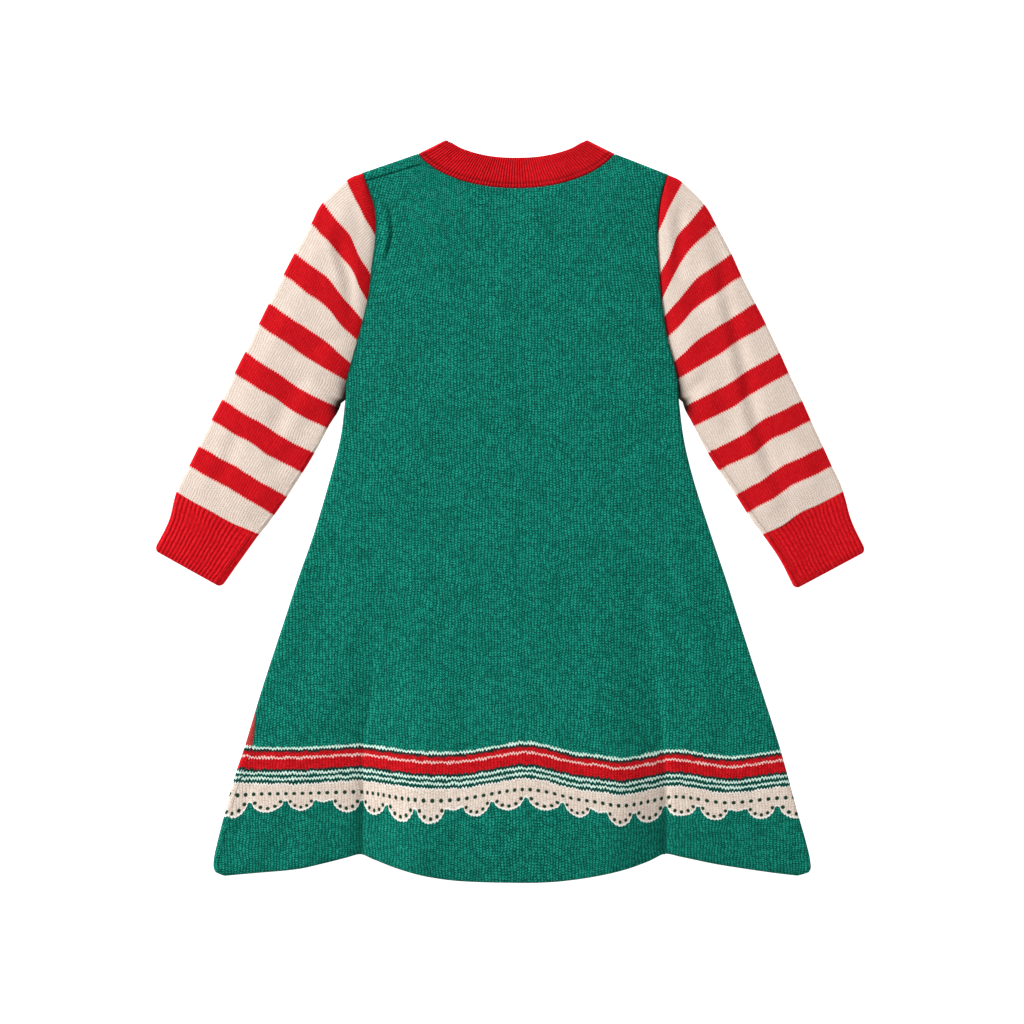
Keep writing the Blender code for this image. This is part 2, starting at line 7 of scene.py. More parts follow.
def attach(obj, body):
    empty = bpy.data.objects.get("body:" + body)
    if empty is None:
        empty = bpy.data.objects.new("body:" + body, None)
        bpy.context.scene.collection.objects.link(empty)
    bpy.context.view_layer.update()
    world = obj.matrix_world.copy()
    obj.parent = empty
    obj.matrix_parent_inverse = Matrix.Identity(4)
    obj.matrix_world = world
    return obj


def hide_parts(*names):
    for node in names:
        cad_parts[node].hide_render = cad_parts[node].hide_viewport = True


# A child's knitted sweater dress, laid flat with its back up. Every panel is a
# thin sheet of knit cloth: a grid is laid along the garment's flattened rings
# and gets its wall from a Solidify modifier. "down" is the distance below the
# collar's peaks and x is measured from the middle of the garment, both in mm.

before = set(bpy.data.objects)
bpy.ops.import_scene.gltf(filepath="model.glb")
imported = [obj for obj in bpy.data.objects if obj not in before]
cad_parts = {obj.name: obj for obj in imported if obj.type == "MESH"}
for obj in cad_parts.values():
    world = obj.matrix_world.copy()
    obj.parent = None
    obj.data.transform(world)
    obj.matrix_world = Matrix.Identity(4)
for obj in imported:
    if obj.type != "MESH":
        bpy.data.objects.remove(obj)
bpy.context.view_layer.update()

garmentLength = 556.9            # mm, from the collar's peaks to the lowest hem


def smooth(value):
    # Rises softly from 0 to 1 as the value does.
    value = min(max(value, 0.0), 1.0)
    return value * value * (3 - 2 * value)


def rise(span, at):
    # From 0 at the span's start to 1 past its length. A negative length rises backwards.
    return smooth((at - span[0]) / span[1])


def bell(gap, half):
    return math.exp(-(gap / half)**2)


def mix(low, high, share):
    return low + (high - low) * share


def along(table, at, column=1):
    # Reads a table's column at any place of its first one, on a smooth curve.
    last = len(table) - 1
    if at <= table[0][0]:
        return table[0][column]
    if at >= table[last][0]:
        return table[last][column]
    low, high = 0, last
    while high - low > 1:
        middle = (low + high) // 2
        if table[middle][0] <= at:
            low = middle
        else:
            high = middle

    def slope(n):
        before, after = table[max(n - 1, 0)], table[min(n + 1, last)]
        return (after[column] - before[column]) / (after[0] - before[0])

    step = table[high][0] - table[low][0]
    t = (at - table[low][0]) / step
    start = table[low][column] * (1 + 2 * t) * (1 - t)**2 + slope(low) * step * t * (1 - t)**2
    end = table[high][column] * t * t * (3 - 2 * t) - slope(high) * step * t * t * (1 - t)
    return start + end


def straight(table, at, column=1):
    # Reads a table on straight lines between its rows, and on past its ends.
    n = 0
    while n < len(table) - 2 and table[n + 1][0] <= at:
        n += 1
    low, high = table[n], table[n + 1]
    return mix(low[column], high[column], (at - low[0]) / (high[0] - low[0]))


def steps(first, last, size):
    count = max(round(abs(last - first) / size), 1)
    return [mix(first, last, n / count) for n in range(count + 1)]


def unevenness(waves, x, down, seed=0.0):
    # Low soft waves of cloth: depth, size across, size down, and their own seed.
    return sum(depth * noise.noise(Vector((x / wide, down / high, seed + own)))
               for depth, wide, high, own in waves)


def toLine(points, x, down):
    # The gap to a line of points, and the share of the line at which it lies.
    best, share = None, 0.0
    for n in range(len(points) - 1):
        (ax, ay), (bx, by) = points[n], points[n + 1]
        dx, dy = bx - ax, by - ay
        t = ((x - ax) * dx + (down - ay) * dy) / (dx * dx + dy * dy)
        t = min(max(t, 0.0), 1.0)
        gap = math.hypot(x - ax - t * dx, down - ay - t * dy)
        if best is None or gap < best:
            best, share = gap, (n + t) / (len(points) - 1)
    return best, share


def creaseDepth(creases, x, down):
    # Soft troughs (or ridges, with a negative depth), each along a line of points.
    total = 0.0
    for points, half, depth in creases:
        gap, share = toLine(points, x, down)
        if gap < 3 * half:
            # a crease runs out over the last quarter at both its ends
            fade = min(1.0, 4 * share + 0.15, 4 * (1 - share) + 0.15)
            total += depth * fade * bell(gap, half)
    return total


# The cloth's folded edges: two layers that meet in a half round. A turn is the
# way round it in mm, from the middle of the edge, and is positive on the top.

def foldAngle(radius, turn):
    return min(max(turn / radius, -math.pi / 2), math.pi / 2)


def foldInset(radius, turn):
    flat = max(abs(turn) - radius * math.pi / 2, 0.0)
    return radius * (1 - math.cos(foldAngle(radius, turn))) + flat


def foldHeight(radius, lift, top):
    return radius + lift * (radius if lift < 0 else top - radius)


def newSheet(name, columns, rows, place, wall, flip):
    # place gives the point in mm, the stitch's place in the knit (across the
    # wales and along them, in mm), how much painted shade lies there (along the
    # seams, in creases, valleys and hollows), and the place in the border's chart,
    # in repeats.
    bpy.ops.object.select_all(action="DESELECT")
    across, up = len(columns) - 1, len(rows) - 1
    bpy.ops.mesh.primitive_grid_add(x_subdivisions=across, y_subdivisions=up, size=1, calc_uvs=True)
    piece = bpy.context.active_object
    piece.name = piece.data.name = name
    mesh = piece.data
    knit, shade, chart = [], [], []
    for vert in mesh.vertices:
        column = columns[round((vert.co.x + 0.5) * across)]
        row = rows[round((vert.co.y + 0.5) * up)]
        point, stitchAt, depth, repeats = place(column, row)
        vert.co = Vector((point[0], garmentLength / 2 - point[1], point[2])) / 1000
        knit.append(stitchAt)
        shade.append(depth)
        chart.append(repeats)
    layer = mesh.uv_layers[0]
    layer.name = "knit"
    for loop in mesh.loops:
        layer.data[loop.index].uv = knit[loop.vertex_index]
    # seamShade holds the painted shade, which the materials mix into the yarn's colour
    for label, values in (("seamShade", shade), ("chartPlace", chart)):
        attribute = mesh.attributes.new(label, "FLOAT", "POINT")
        for n, value in enumerate(values):
            attribute.data[n].value = value
    if flip:
        mesh.flip_normals()
    for face in mesh.polygons:
        face.use_smooth = True
    solid = piece.modifiers.new("wall", "SOLIDIFY")
    solid.thickness = wall / 1000
    solid.offset = -1
    solid.use_even_offset = False
    bpy.ops.object.modifier_apply(modifier=solid.name)
    print("made", name, len(piece.data.polygons), "faces")
    return piece


# The body's outline, its folds and how it lies.

# In mm. A span is where something starts and over how far it comes in.
body = {
    "cloth": 1.5,                # wall of the knit
    "gap": 0.02,                 # left open along a seam
    "foldHeight": 5.6,           # both layers together, at a fold
    "foldReach": 10.0,           # how far round a fold its close columns and rows go
    # from, to, and step of the columns, as shares of the width: closer beside the
    # left armhole and in the skirt's two valleys
    "columnSteps": [
        (0.0, 0.045, 0.0045), (0.045, 0.2, 0.0099), (0.2, 0.25, 0.0024),
        (0.25, 0.76, 0.0099), (0.76, 0.805, 0.0024), (0.805, 1.0, 0.0099),
    ],
    "rowStep": 2.1,
    "hemRows": [551.5, 550.4, 549.0, 546.8],
    "skirtRows": (544.5, 212.0),
    "courseRows": (7.8, 0.4),    # above the skirt the rows follow the sleeves' courses
    "courseLength": 25.0,
    "frontColumnSteps": [(0.0, 1.0, 0.0165)],
    "frontRowStep": 3.36,
    # round a fold, as shares of its reach: the left side, where the seam turns on
    # to the top, and the others
    "leftTurns": [0.0, 0.05, 0.11, 0.18, 0.27, 0.36, 0.44, 0.52, 0.6, 0.68, 0.76, 0.84, 0.92, 1.0],
    "turns": [0.0, 0.05, 0.11, 0.18, 0.27, 0.36, 0.45, 0.56, 0.7, 0.85, 1.0],
    # and round the shoulders and the neck, in mm from the seam
    "backShoulder": [13.0, 12.2, 11.6, 11.1, 10.7, 10.3, 10.0, 9.7, 9.4, 9.1, 8.8, 8.5, 8.2, 7.9,
                     7.6, 7.3, 7.0, 6.6, 5.6, 4.4, 3.6, 2.8, 2.0, 1.4, 0.9, 0.5, 0.1],
    "frontShoulder": [10.0, 7.5, 5.6, 4.4, 3.6, 2.8, 2.0, 1.4, 0.9, 0.5, 0.1],
    "neckMiddle": 4.9,
    "neckHalf": 73.4,
    "neckDown": 9.8,
    "neckCurve": (2.2, 0.75),    # powers that make its foot flat and its sides steep
    "backNeckDrop": 26.2,
    "frontNeckDrop": 57.2,
    "shoulderLeft": 24.3,
    "shoulderRight": 25.5,
    "underarm": 196.0,
    "underarmCourse": 7.8,
    "sideRound": (180.0, 26.0),  # span over which the armhole's edge becomes a round fold
    "hem": 551.5,
    "hemShapeFrom": 330.0,       # from here down the rows bend to the hem's line
    "frontHemShort": 1.5,        # how far the front's hem stays behind the back's
    "frontHemSide": 0.08,        # and the share of the width over which it does
    "crown": 1.4,                # how much higher than its folds the middle lies
    "crownReach": 38.0,
    "crownSpan": (14.0, 26.0),
    "creaseInset": 14.0,         # creases fade this near the sides
    "neckLay": 3.0,              # how far the back of the neck sinks to the floor
    "neckLayHalf": 34.0,
    "neckLaySpan": (56.0, -22.0),
    "humpSlopes": (46.0, 42.0),  # widths of the hump's left and right sides
    "valleySlopes": (1.4, 0.45),     # a valley's left side is gentle, its right one steep
    "waves": [(0.55, 38.0, 70.0, 3.0), (0.3, 15.0, 22.0, 8.0)],
    # The shades and darks below are painted shade, carried by the seamShade attribute into the
    # cloth's colour:
    "sideShade": 1.3,            # half width of the dark line along the side seams
    "seamPressed": (400.0, 40.0),    # over the border the left one is pressed flat
    "seamAgain": (510.0, 15.0),      # and below it a soft crease shows again
    "seamAgainShade": 0.35,
    "foldShade": 0.6,            # how much less the right one shows on its round fold
    "armholeSink": (2.2, 0.16),  # half width, depth as a share of the height
    "neckSeam": (1.2, 1.3, 0.5),     # half widths of its shade and its groove, depth
    "neckSeamReach": 2.5,
    "shoulderGroove": (0.75, 1.0, 0.9),  # half width, depth, how dark
    "rightShoulder": (0.8, 0.5),     # half width, how dark
    "dentShade": (0.95, 0.8),    # the sharp dent beside the left armhole
    "valleyShade": (3.2, 0.75),
    "valleyShadeSpan": (440.0, 80.0),
    "hemRim": (1.6, 0.5, 0.25),  # half width, depth, how dark
    # under the shoulders the wales lean towards the neck: down to here, spans to
    # the right and the left, mm aside to each mm up
    "leanDown": 118.0,
    "leanSpans": ((30.0, 70.0), (-25.0, -65.0)),
    "lean": (0.16, 0.28),
    "frontShift": (0.9, 0.35),   # its chart's shift: mm down, repeats across
}
# The left shoulder's seam lies a little way down the back: x, down.
shoulderSeam = [(-109.0, 31.1), (-63.0, 17.2)]
shoulderSeamBox = -50.0, 45.0    # it lies left of and above these

# down, left edge, right edge
bodySides = [
    (25.5, -110.6, 118.5), (38.0, -105.6, 114.4), (51.0, -101.6, 111.7), (70.0, -100.7, 110.6),
    (95.0, -103.7, 111.8), (120.0, -106.8, 113.9), (150.0, -114.3, 118.5), (168.0, -119.4, 123.4),
    (182.0, -122.8, 126.0), (196.0, -123.6, 127.0), (225.0, -127.5, 130.8), (255.0, -135.3, 138.0),
    (295.0, -147.1, 150.7), (331.0, -159.7, 162.8), (360.0, -169.2, 172.0), (413.0, -186.6, 189.2),
    (454.0, -199.0, 202.3), (484.0, -208.9, 210.7), (508.0, -215.1, 217.2), (527.0, -219.9, 222.6),
    (542.0, -222.7, 225.8), (549.0, -220.8, 224.5), (551.5, -214.6, 216.7),
]

# x, down of the hem's edge
hemLine = [
    (-214.0, 552.1), (-190.0, 549.8), (-159.0, 546.9), (-138.0, 542.3), (-122.0, 538.3),
    (-111.5, 536.0), (-102.0, 539.4), (-84.5, 545.7), (-62.0, 551.6), (-37.0, 555.0),
    (10.0, 556.3), (35.5, 555.4), (61.5, 552.0), (87.0, 546.4), (104.5, 540.7),
    (116.5, 535.7), (128.0, 537.6), (155.5, 543.3), (199.0, 549.9), (216.5, 552.0),
]

# down, left valley's x, right valley's x, rise of the hump between them, depth
# of the valleys, half width of the valleys, turn of the left side seam on to the top
skirtFolds = [
    (280.0, -92.0, 96.0, 0.0, 0.0, 16.0, 0.0), (330.0, -96.0, 100.0, 1.2, 0.4, 14.0, 0.0),
    (380.0, -101.0, 106.0, 3.2, 1.2, 11.0, 0.0), (419.0, -105.0, 111.0, 5.2, 1.9, 8.5, 0.2),
    (454.0, -109.5, 115.5, 7.4, 2.9, 7.0, 7.6), (495.0, -110.5, 117.0, 9.8, 3.9, 6.0, 6.8),
    (526.0, -111.0, 117.0, 10.8, 4.4, 5.5, 6.5), (557.0, -111.0, 117.0, 9.4, 4.8, 5.5, 6.2),
]

# points of (x, down), half width, depth
backCreases = [
    ([(-93.6, 44.0), (-89.2, 58.0), (-88.4, 70.0), (-91.2, 82.0), (-94.0, 92.0)], 1.7, 1.6),
    ([(-97.0, 50.0), (-93.2, 64.0), (-93.6, 78.0), (-97.0, 92.0)], 2.4, -1.5),
    ([(-112.0, 205.0), (-98.0, 226.0), (-78.0, 244.0)], 8.0, 1.1),
    ([(-118.0, 232.0), (-108.0, 262.0), (-104.0, 300.0)], 9.0, 0.8),
    ([(118.0, 204.0), (104.0, 222.0), (84.0, 238.0)], 8.0, 1.1),
    ([(124.0, 228.0), (118.0, 262.0), (116.0, 300.0)], 8.0, 0.8),
    ([(50.0, 196.0), (72.0, 218.0), (96.0, 232.0)], 9.0, 0.6),
    ([(-138.0, 300.0), (-146.0, 360.0), (-158.0, 430.0)], 12.0, 1.5),
    ([(-120.0, 330.0), (-124.0, 390.0), (-132.0, 450.0)], 9.0, -0.8),
    ([(146.0, 310.0), (155.0, 370.0), (166.0, 440.0)], 10.0, 1.0),
    ([(138.0, 330.0), (146.0, 400.0), (152.0, 470.0)], 9.0, -1.1),
    ([(-66.0, 300.0), (-72.0, 380.0), (-74.0, 450.0)], 10.0, -0.8),
    ([(-30.0, 380.0), (-34.0, 440.0), (-30.0, 500.0)], 12.0, 0.7),
    ([(10.0, 330.0), (12.0, 420.0), (10.0, 470.0)], 14.0, -0.5),
    ([(44.0, 350.0), (52.0, 420.0), (56.0, 480.0)], 12.0, 0.7),
    ([(-190.0, 470.0), (-201.0, 505.0), (-207.0, 545.0)], 5.0, 0.9),
    ([(-160.0, 500.0), (-166.0, 525.0), (-172.0, 545.0)], 10.0, 0.7),
    ([(-60.0, 520.0), (-64.0, 545.0), (-66.0, 556.0)], 9.0, -0.6),
    ([(176.0, 480.0), (188.0, 515.0), (196.0, 546.0)], 8.0, 0.8),
    ([(-18.0, 70.0), (-24.0, 100.0), (-40.0, 130.0)], 12.0, 0.4),
    ([(30.0, 60.0), (44.0, 90.0), (66.0, 112.0)], 12.0, 0.4),
]

# The border's first line and the foot of its scallops: x, down.
borderLine = [
    (-222.0, 456.4), (-194.9, 456.0), (-157.4, 456.2), (-114.6, 453.9), (-107.0, 454.4),
    (-67.4, 458.8), (-37.4, 459.0), (-14.9, 455.6), (9.9, 451.7), (26.4, 453.8), (47.4, 459.4),
    (66.1, 461.5), (84.1, 463.9), (105.0, 460.8), (123.9, 457.9), (164.4, 463.0), (201.9, 458.7),
    (225.0, 457.6),
]
scallopLine = [
    (-206.0, 508.8), (-185.0, 504.6), (-156.6, 503.0), (-125.9, 504.2), (-100.4, 506.2),
    (-80.9, 510.8), (-56.1, 512.0), (-25.8, 506.5), (-1.4, 501.8), (27.1, 502.0), (52.6, 507.2),
    (81.1, 514.0), (104.4, 511.8), (128.4, 507.0), (158.4, 510.6), (189.1, 509.2), (214.2, 508.8),
]
# The notches between the scallops: x, and how many repeats from the middle.
notchLine = [
    (-195.2, -8), (-167.9, -7), (-140.1, -6), (-110.9, -5), (-92.5, -4), (-71.1, -3), (-41.5, -2),
    (-13.4, -1), (12.1, 0), (39.6, 1), (66.5, 2), (93.1, 3), (116.4, 4), (141.1, 5), (171.1, 6),
    (200.4, 7),
]
knitChart = {
    "repeat": 27.6,              # one scallop, in mm of cloth
    "bandDepth": 28.3,           # from the first line to the lace's upper edge
    "laceDepth": 21.5,
    "hemDepth": 47.0,
    "levelAt": 457.0,            # the courses lie level further up
    "waveSpan": (300.0, 150.0),
    # the dots along a scallop: share of its width, mm below the lace's upper edge
    "scallopDots": [(0.145, 13.2), (0.30, 16.9), (0.5, 18.3), (0.70, 16.9), (0.855, 13.2)],
    "dotPitch": 25.0,            # width of a scallop, as its dots see it
    "dotSize": 1.4,              # radius
    "rowDots": 4.5,              # the straight row's dots to a repeat
    "rowDotsDown": 34.7,
    "rowDotSize": 1.5,
}


def bodySide(column, down):
    return along(bodySides, down, column)


def neckEdge(x, drop, gap=0.0):
    inner, outer = body["neckCurve"]
    u = min(abs(x - body["neckMiddle"]) / (body["neckHalf"] - gap), 1.0)
    return body["neckDown"] + (drop - gap) * (1 - u**inner)**outer


def topEdge(x, drop):
    tips = body["neckMiddle"] - body["neckHalf"], body["neckMiddle"] + body["neckHalf"]
    left, right = bodySide(1, body["shoulderLeft"]), bodySide(2, body["shoulderRight"])
    if x < tips[0]:
        return mix(body["shoulderLeft"], body["neckDown"], (x - left) / (tips[0] - left))
    if x > tips[1]:
        return mix(body["shoulderRight"], body["neckDown"], (x - right) / (tips[1] - right))
    return neckEdge(x, drop)


def valleyGap(x, valley, half):
    # The way to a valley's foot, in its own half widths.
    gentle, steep = body["valleySlopes"]
    return abs(x - valley) / (gentle * half if x < valley else steep * half)


def skirtLift(x, down):
    # The wide hump between the skirt's two valleys.
    left, right, hump, dip, half = [along(skirtFolds, down, n) for n in range(1, 6)]
    leftSlope, rightSlope = body["humpSlopes"]
    lift = hump * smooth((x - left) / leftSlope) * smooth((right - x) / rightSlope)
    for valley in (left, right):
        lift -= dip * math.exp(-valleyGap(x, valley, half))
    return lift


def backTop(x, down):
    # The back's outer height where it lies open.
    inset = min(x - bodySide(1, down), bodySide(2, down) - x)
    openness = smooth(inset / body["crownReach"])
    crown = body["crown"] * openness * rise(body["crownSpan"], down)
    lay = body["neckLay"] * smooth(1 - abs(x - body["neckMiddle"]) / body["neckLayHalf"])
    lay *= rise(body["neckLaySpan"], down)
    creases = creaseDepth(backCreases, x, down) * smooth(inset / body["creaseInset"])
    rest = skirtLift(x, down) - creases
    rest += openness * unevenness(body["waves"], x, down)
    # in the valleys it comes down to rest on the front, and no lower
    top, lowest = body["foldHeight"] + crown - lay + rest, 2 * body["cloth"] + 0.1
    return top if top > lowest + 1 else lowest + math.exp(top - lowest - 1)


def coursePlace(x, down):
    # How far along the wales a point of the body lies: the courses follow the
    # border and the hem.
    first, foot, hem = along(borderLine, x), along(scallopLine, x), along(hemLine, x)
    lace = first + knitChart["bandDepth"]
    if down < first:
        return down - mix(knitChart["levelAt"], first, rise(knitChart["waveSpan"], down))
    if down < lace:
        return down - first
    if down < foot:
        return knitChart["bandDepth"] + (down - lace) / (foot - lace) * knitChart["laceDepth"]
    below = (down - foot) / (hem - foot) * knitChart["hemDepth"]
    return knitChart["bandDepth"] + knitChart["laceDepth"] + below


def bodyRows(rowStep, shoulderTurns):
    # left down, right down, share of the hem's wave, of the top's outline, turn
    rows = []
    hem, shapeFrom = body["hem"], body["hemShapeFrom"]
    for down in body["hemRows"] + steps(*body["skirtRows"], rowStep):
        wave = smooth((down - shapeFrom) / (hem - shapeFrom))
        rows.append((down, down, wave, 0.0, body["foldReach"]))
    for number in steps(*body["courseRows"], rowStep / body["courseLength"]):
        left, right = along(leftCourses, number, 4), along(rightCourses, number, 4)
        top = smooth((body["underarm"] - left) / (body["underarm"] - body["shoulderLeft"]))
        rows.append((left, right, 0.0, top, body["foldReach"]))
    radius = body["foldHeight"] / 2
    for turn in shoulderTurns:
        inset = foldInset(radius, turn)
        rows.append((body["shoulderLeft"] + inset, body["shoulderRight"] + inset, 0.0, 1.0, turn))
    return rows


def bodyColumns(stepTable, leftTurns, rightTurns):
    columns = [("left", turn) for turn in leftTurns]
    for first, last, size in stepTable:
        columns += [("middle", share) for share in steps(first, last, size)[1:]]
    return columns[:-1] + [("right", turn) for turn in reversed(rightTurns)]


def sideFold(layer, isLeft, share, down, isRound):
    # A column beside the body's left or right edge: how far in it lies, how far
    # in it would lie unrolled, its lift between the two layers, and its painted shade.
    radius, reach = body["foldHeight"] / 2, body["foldReach"]
    seam = along(skirtFolds, down, 6) if isLeft else 0.0
    turn = mix(seam + layer * body["gap"] / 2, layer * reach, share)
    inset = mix(share * reach, foldInset(radius, turn), isRound)
    unrolled = mix(share * reach, foldInset(radius, reach) - reach + layer * turn, isRound)
    lift = mix(1.0, layer * math.sin(foldAngle(radius, turn)), isRound)
    shade = bell(share * reach, body["sideShade"])
    if isLeft:
        again = body["seamAgainShade"] * rise(body["seamAgain"], down)
        shade *= 1 - rise(body["seamPressed"], down) + again
    else:
        shade *= 1 - body["foldShade"] * isRound
    if layer > 0 and isRound < 1:
        half, depth = body["armholeSink"]
        lift -= (1 - isRound) * depth * bell(share * reach, half)
    return inset, unrolled, lift, shade


def backMarks(x, down, groove, shade):
    # The left shoulder's seam and its groove, and the painted shade along that
    # seam, in the skirt's valleys and in the dent by the armhole.
    if x < shoulderSeamBox[0] and down < shoulderSeamBox[1]:
        half, depth, dark = body["shoulderGroove"]
        seam = bell(toLine(shoulderSeam, x, down)[0], half)
        groove, shade = groove + depth * seam, max(shade, dark * seam)
    if down > body["valleyShadeSpan"][0]:
        half, dark = body["valleyShade"]
        dark *= rise(body["valleyShadeSpan"], down)
        for valley in (along(skirtFolds, down, 1), along(skirtFolds, down, 2)):
            shade = max(shade, dark * math.exp(-valleyGap(x, valley, half)**1.5))
    half, dark = body["dentShade"]
    gap, share = toLine(backCreases[0][0], x, down)
    shade = max(shade, dark * bell(gap, half) * smooth(5 * share) * smooth(4 * (1 - share)))
    return groove, shade


def bodyPoint(layer, drop, column, row):
    # layer is 1 for the back and -1 for the front, drop how deep its neckline is.
    place, share = column
    leftDown, rightDown, wave, top, rowTurn = row
    radius, reach = body["foldHeight"] / 2, body["foldReach"]
    left, right = bodySide(1, leftDown), bodySide(2, rightDown)
    rounded = [rise(body["sideRound"], down) for down in (leftDown, rightDown)]
    lift, shade, groove = 1.0, 0.0, 0.0
    if place == "middle":
        bounds = [mix(reach, foldInset(radius, reach), value) for value in rounded]
        x = flatX = mix(left + bounds[0], right - bounds[1], share)
    elif place == "left":
        inset, unrolled, lift, shade = sideFold(layer, True, share, leftDown, rounded[0])
        x, flatX = left + inset, left + unrolled
    else:
        inset, unrolled, lift, shade = sideFold(layer, False, share, rightDown, rounded[1])
        x, flatX = right - inset, right - unrolled
    across = (x - left) / (right - left)
    down = level = mix(leftDown, rightDown, across)
    down += wave * (along(hemLine, mix(hemLine[0][0], hemLine[-1][0], across)) - body["hem"])
    if layer < 0:
        side = smooth(min(across, 1 - across) / body["frontHemSide"])
        down -= body["frontHemShort"] * wave * side
    topX = mix(bodySide(1, body["shoulderLeft"]), bodySide(2, body["shoulderRight"]), across)
    shoulder = mix(body["shoulderLeft"], body["shoulderRight"], across)
    down += top * (topEdge(topX, drop) - shoulder)
    if top == 1:
        inset = foldInset(radius, rowTurn)
        if abs(topX - body["neckMiddle"]) < body["neckHalf"]:
            inset = max(down - body["neckDown"], inset)
            # painted shade along the neck's seam, beside its groove
            if rowTurn < body["neckSeamReach"]:
                shadeHalf, grooveHalf, depth = body["neckSeam"]
                shade = max(shade, bell(rowTurn, shadeHalf))
                groove = depth * bell(rowTurn, grooveHalf)
        # painted shade along the right shoulder's fold
        elif topX > 0:
            half, dark = body["rightShoulder"]
            shade = max(shade, dark * bell(rowTurn, half))
        lift *= math.sin(math.acos(1 - min(inset / radius, 1.0)))
    if layer > 0:
        groove, shade = backMarks(x, down, groove, shade)
    height = foldHeight(radius, layer * lift, backTop(x, down) - groove)
    # the hem's rim: a groove, with painted shade in it
    if wave > 0.9:
        half, depth, dark = body["hemRim"]
        rim = bell(body["hem"] - level, half)
        height, shade = height - depth * rim, max(shade, dark * rim)
    v, repeats = coursePlace(x, down), straight(notchLine, flatX)
    if layer > 0 and down < body["leanDown"]:
        toRight, toLeft = [rise(span, x) for span in body["leanSpans"]]
        lean = body["lean"][0] * toRight - body["lean"][1] * toLeft
        flatX += (body["leanDown"] - down) * lean
    if layer < 0:
        v, repeats = v + body["frontShift"][0], repeats + body["frontShift"][1]
    return (x, down, max(height, 0.0)), (flatX, v), shade, repeats


def buildPanel(name, layer, drop, columns, rows, flip):
    def place(column, row):
        return bodyPoint(layer, drop, column, row)

    return newSheet(name, columns, rows, place, body["cloth"], flip)


# The sleeves' courses of knit, from the shoulder down: a course's number, its
# outer end's x and down, its inner end's x and down, how far its middle stands
# out towards the neck, and where a crease bends it and by how much. The stripes
# change at courses 1 to 13, the cuff starts at 14 and ends at 16.
leftCourses = [
    (0, -110.5, 24.4, -108.7, 31.0, 0.0, 0.50, 0.0),
    (1, -121.9, 30.4, -100.8, 71.0, -1.0, 0.50, 0.0),
    (2, -140.1, 47.2, -104.1, 101.0, 1.8, 0.66, 1.3),
    (3, -148.7, 62.8, -106.4, 120.5, 3.3, 0.80, 1.5),
    (4, -161.1, 85.2, -111.3, 135.0, 2.9, 0.56, 1.1),
    (5, -169.2, 100.8, -114.6, 150.0, 1.7, 0.70, 1.5),
    (6, -180.4, 123.0, -120.1, 167.5, 1.7, 0.85, 0.7),
    (7, -187.8, 138.0, -123.1, 180.4, -1.1, 0.45, 0.2),
    (8, -197.9, 158.8, -127.9, 201.1, -2.2, 0.50, 0.9),
    (9, -205.9, 174.7, -137.1, 215.6, -1.6, 0.58, 0.7),
    (10, -215.3, 194.6, -147.4, 233.9, -1.6, 0.60, 0.7),
    (11, -223.2, 209.6, -156.5, 249.0, -0.7, 0.55, 0.5),
    (12, -232.7, 229.4, -167.8, 266.6, -0.4, 0.58, 0.5),
    (13, -240.0, 244.3, -177.5, 280.4, 0.2, 0.65, 0.4),
    (14, -250.5, 264.2, -188.5, 296.2, -1.6, 0.55, 0.4),
    (15, -256.3, 286.0, -203.4, 317.0, -0.8, 0.50, 0.1),
    (16, -267.2, 307.5, -216.6, 335.7, 0.0, 0.50, 0.0),
]
rightCourses = [
    (0, 118.2, 25.4, 116.7, 31.0, 0.0, 0.40, 0.0),
    (1, 129.0, 32.0, 111.0, 70.0, 0.5, 0.50, 0.0),
    (2, 145.6, 48.7, 112.2, 101.5, 2.9, 0.65, 1.3),
    (3, 154.6, 64.3, 114.1, 120.5, 5.4, 0.60, 0.6),
    (4, 165.9, 85.8, 115.8, 132.5, 3.2, 0.60, 0.9),
    (5, 173.2, 102.0, 117.6, 147.8, 2.4, 0.75, 1.2),
    (6, 183.9, 123.0, 123.0, 166.5, 2.4, 0.85, 0.8),
    (7, 191.7, 138.4, 126.3, 179.4, 0.3, 0.40, 0.4),
    (8, 201.9, 159.7, 130.8, 200.2, -0.5, 0.45, 0.9),
    (9, 208.5, 174.3, 138.4, 214.1, -0.9, 0.48, 0.8),
    (10, 218.7, 195.7, 149.4, 234.0, 0.4, 0.53, 1.3),
    (11, 225.1, 210.0, 157.6, 247.1, 0.1, 0.53, 1.3),
    (12, 234.4, 230.1, 170.2, 265.5, 0.8, 0.60, 1.0),
    (13, 240.9, 244.5, 178.6, 278.7, 0.7, 0.60, 1.1),
    (14, 250.4, 264.2, 190.2, 296.5, 0.0, 0.68, 1.1),
    (15, 256.8, 286.2, 203.0, 315.4, 0.0, 0.70, 0.5),
    (16, 267.5, 308.4, 213.9, 337.1, 0.0, 0.70, 0.0),
]


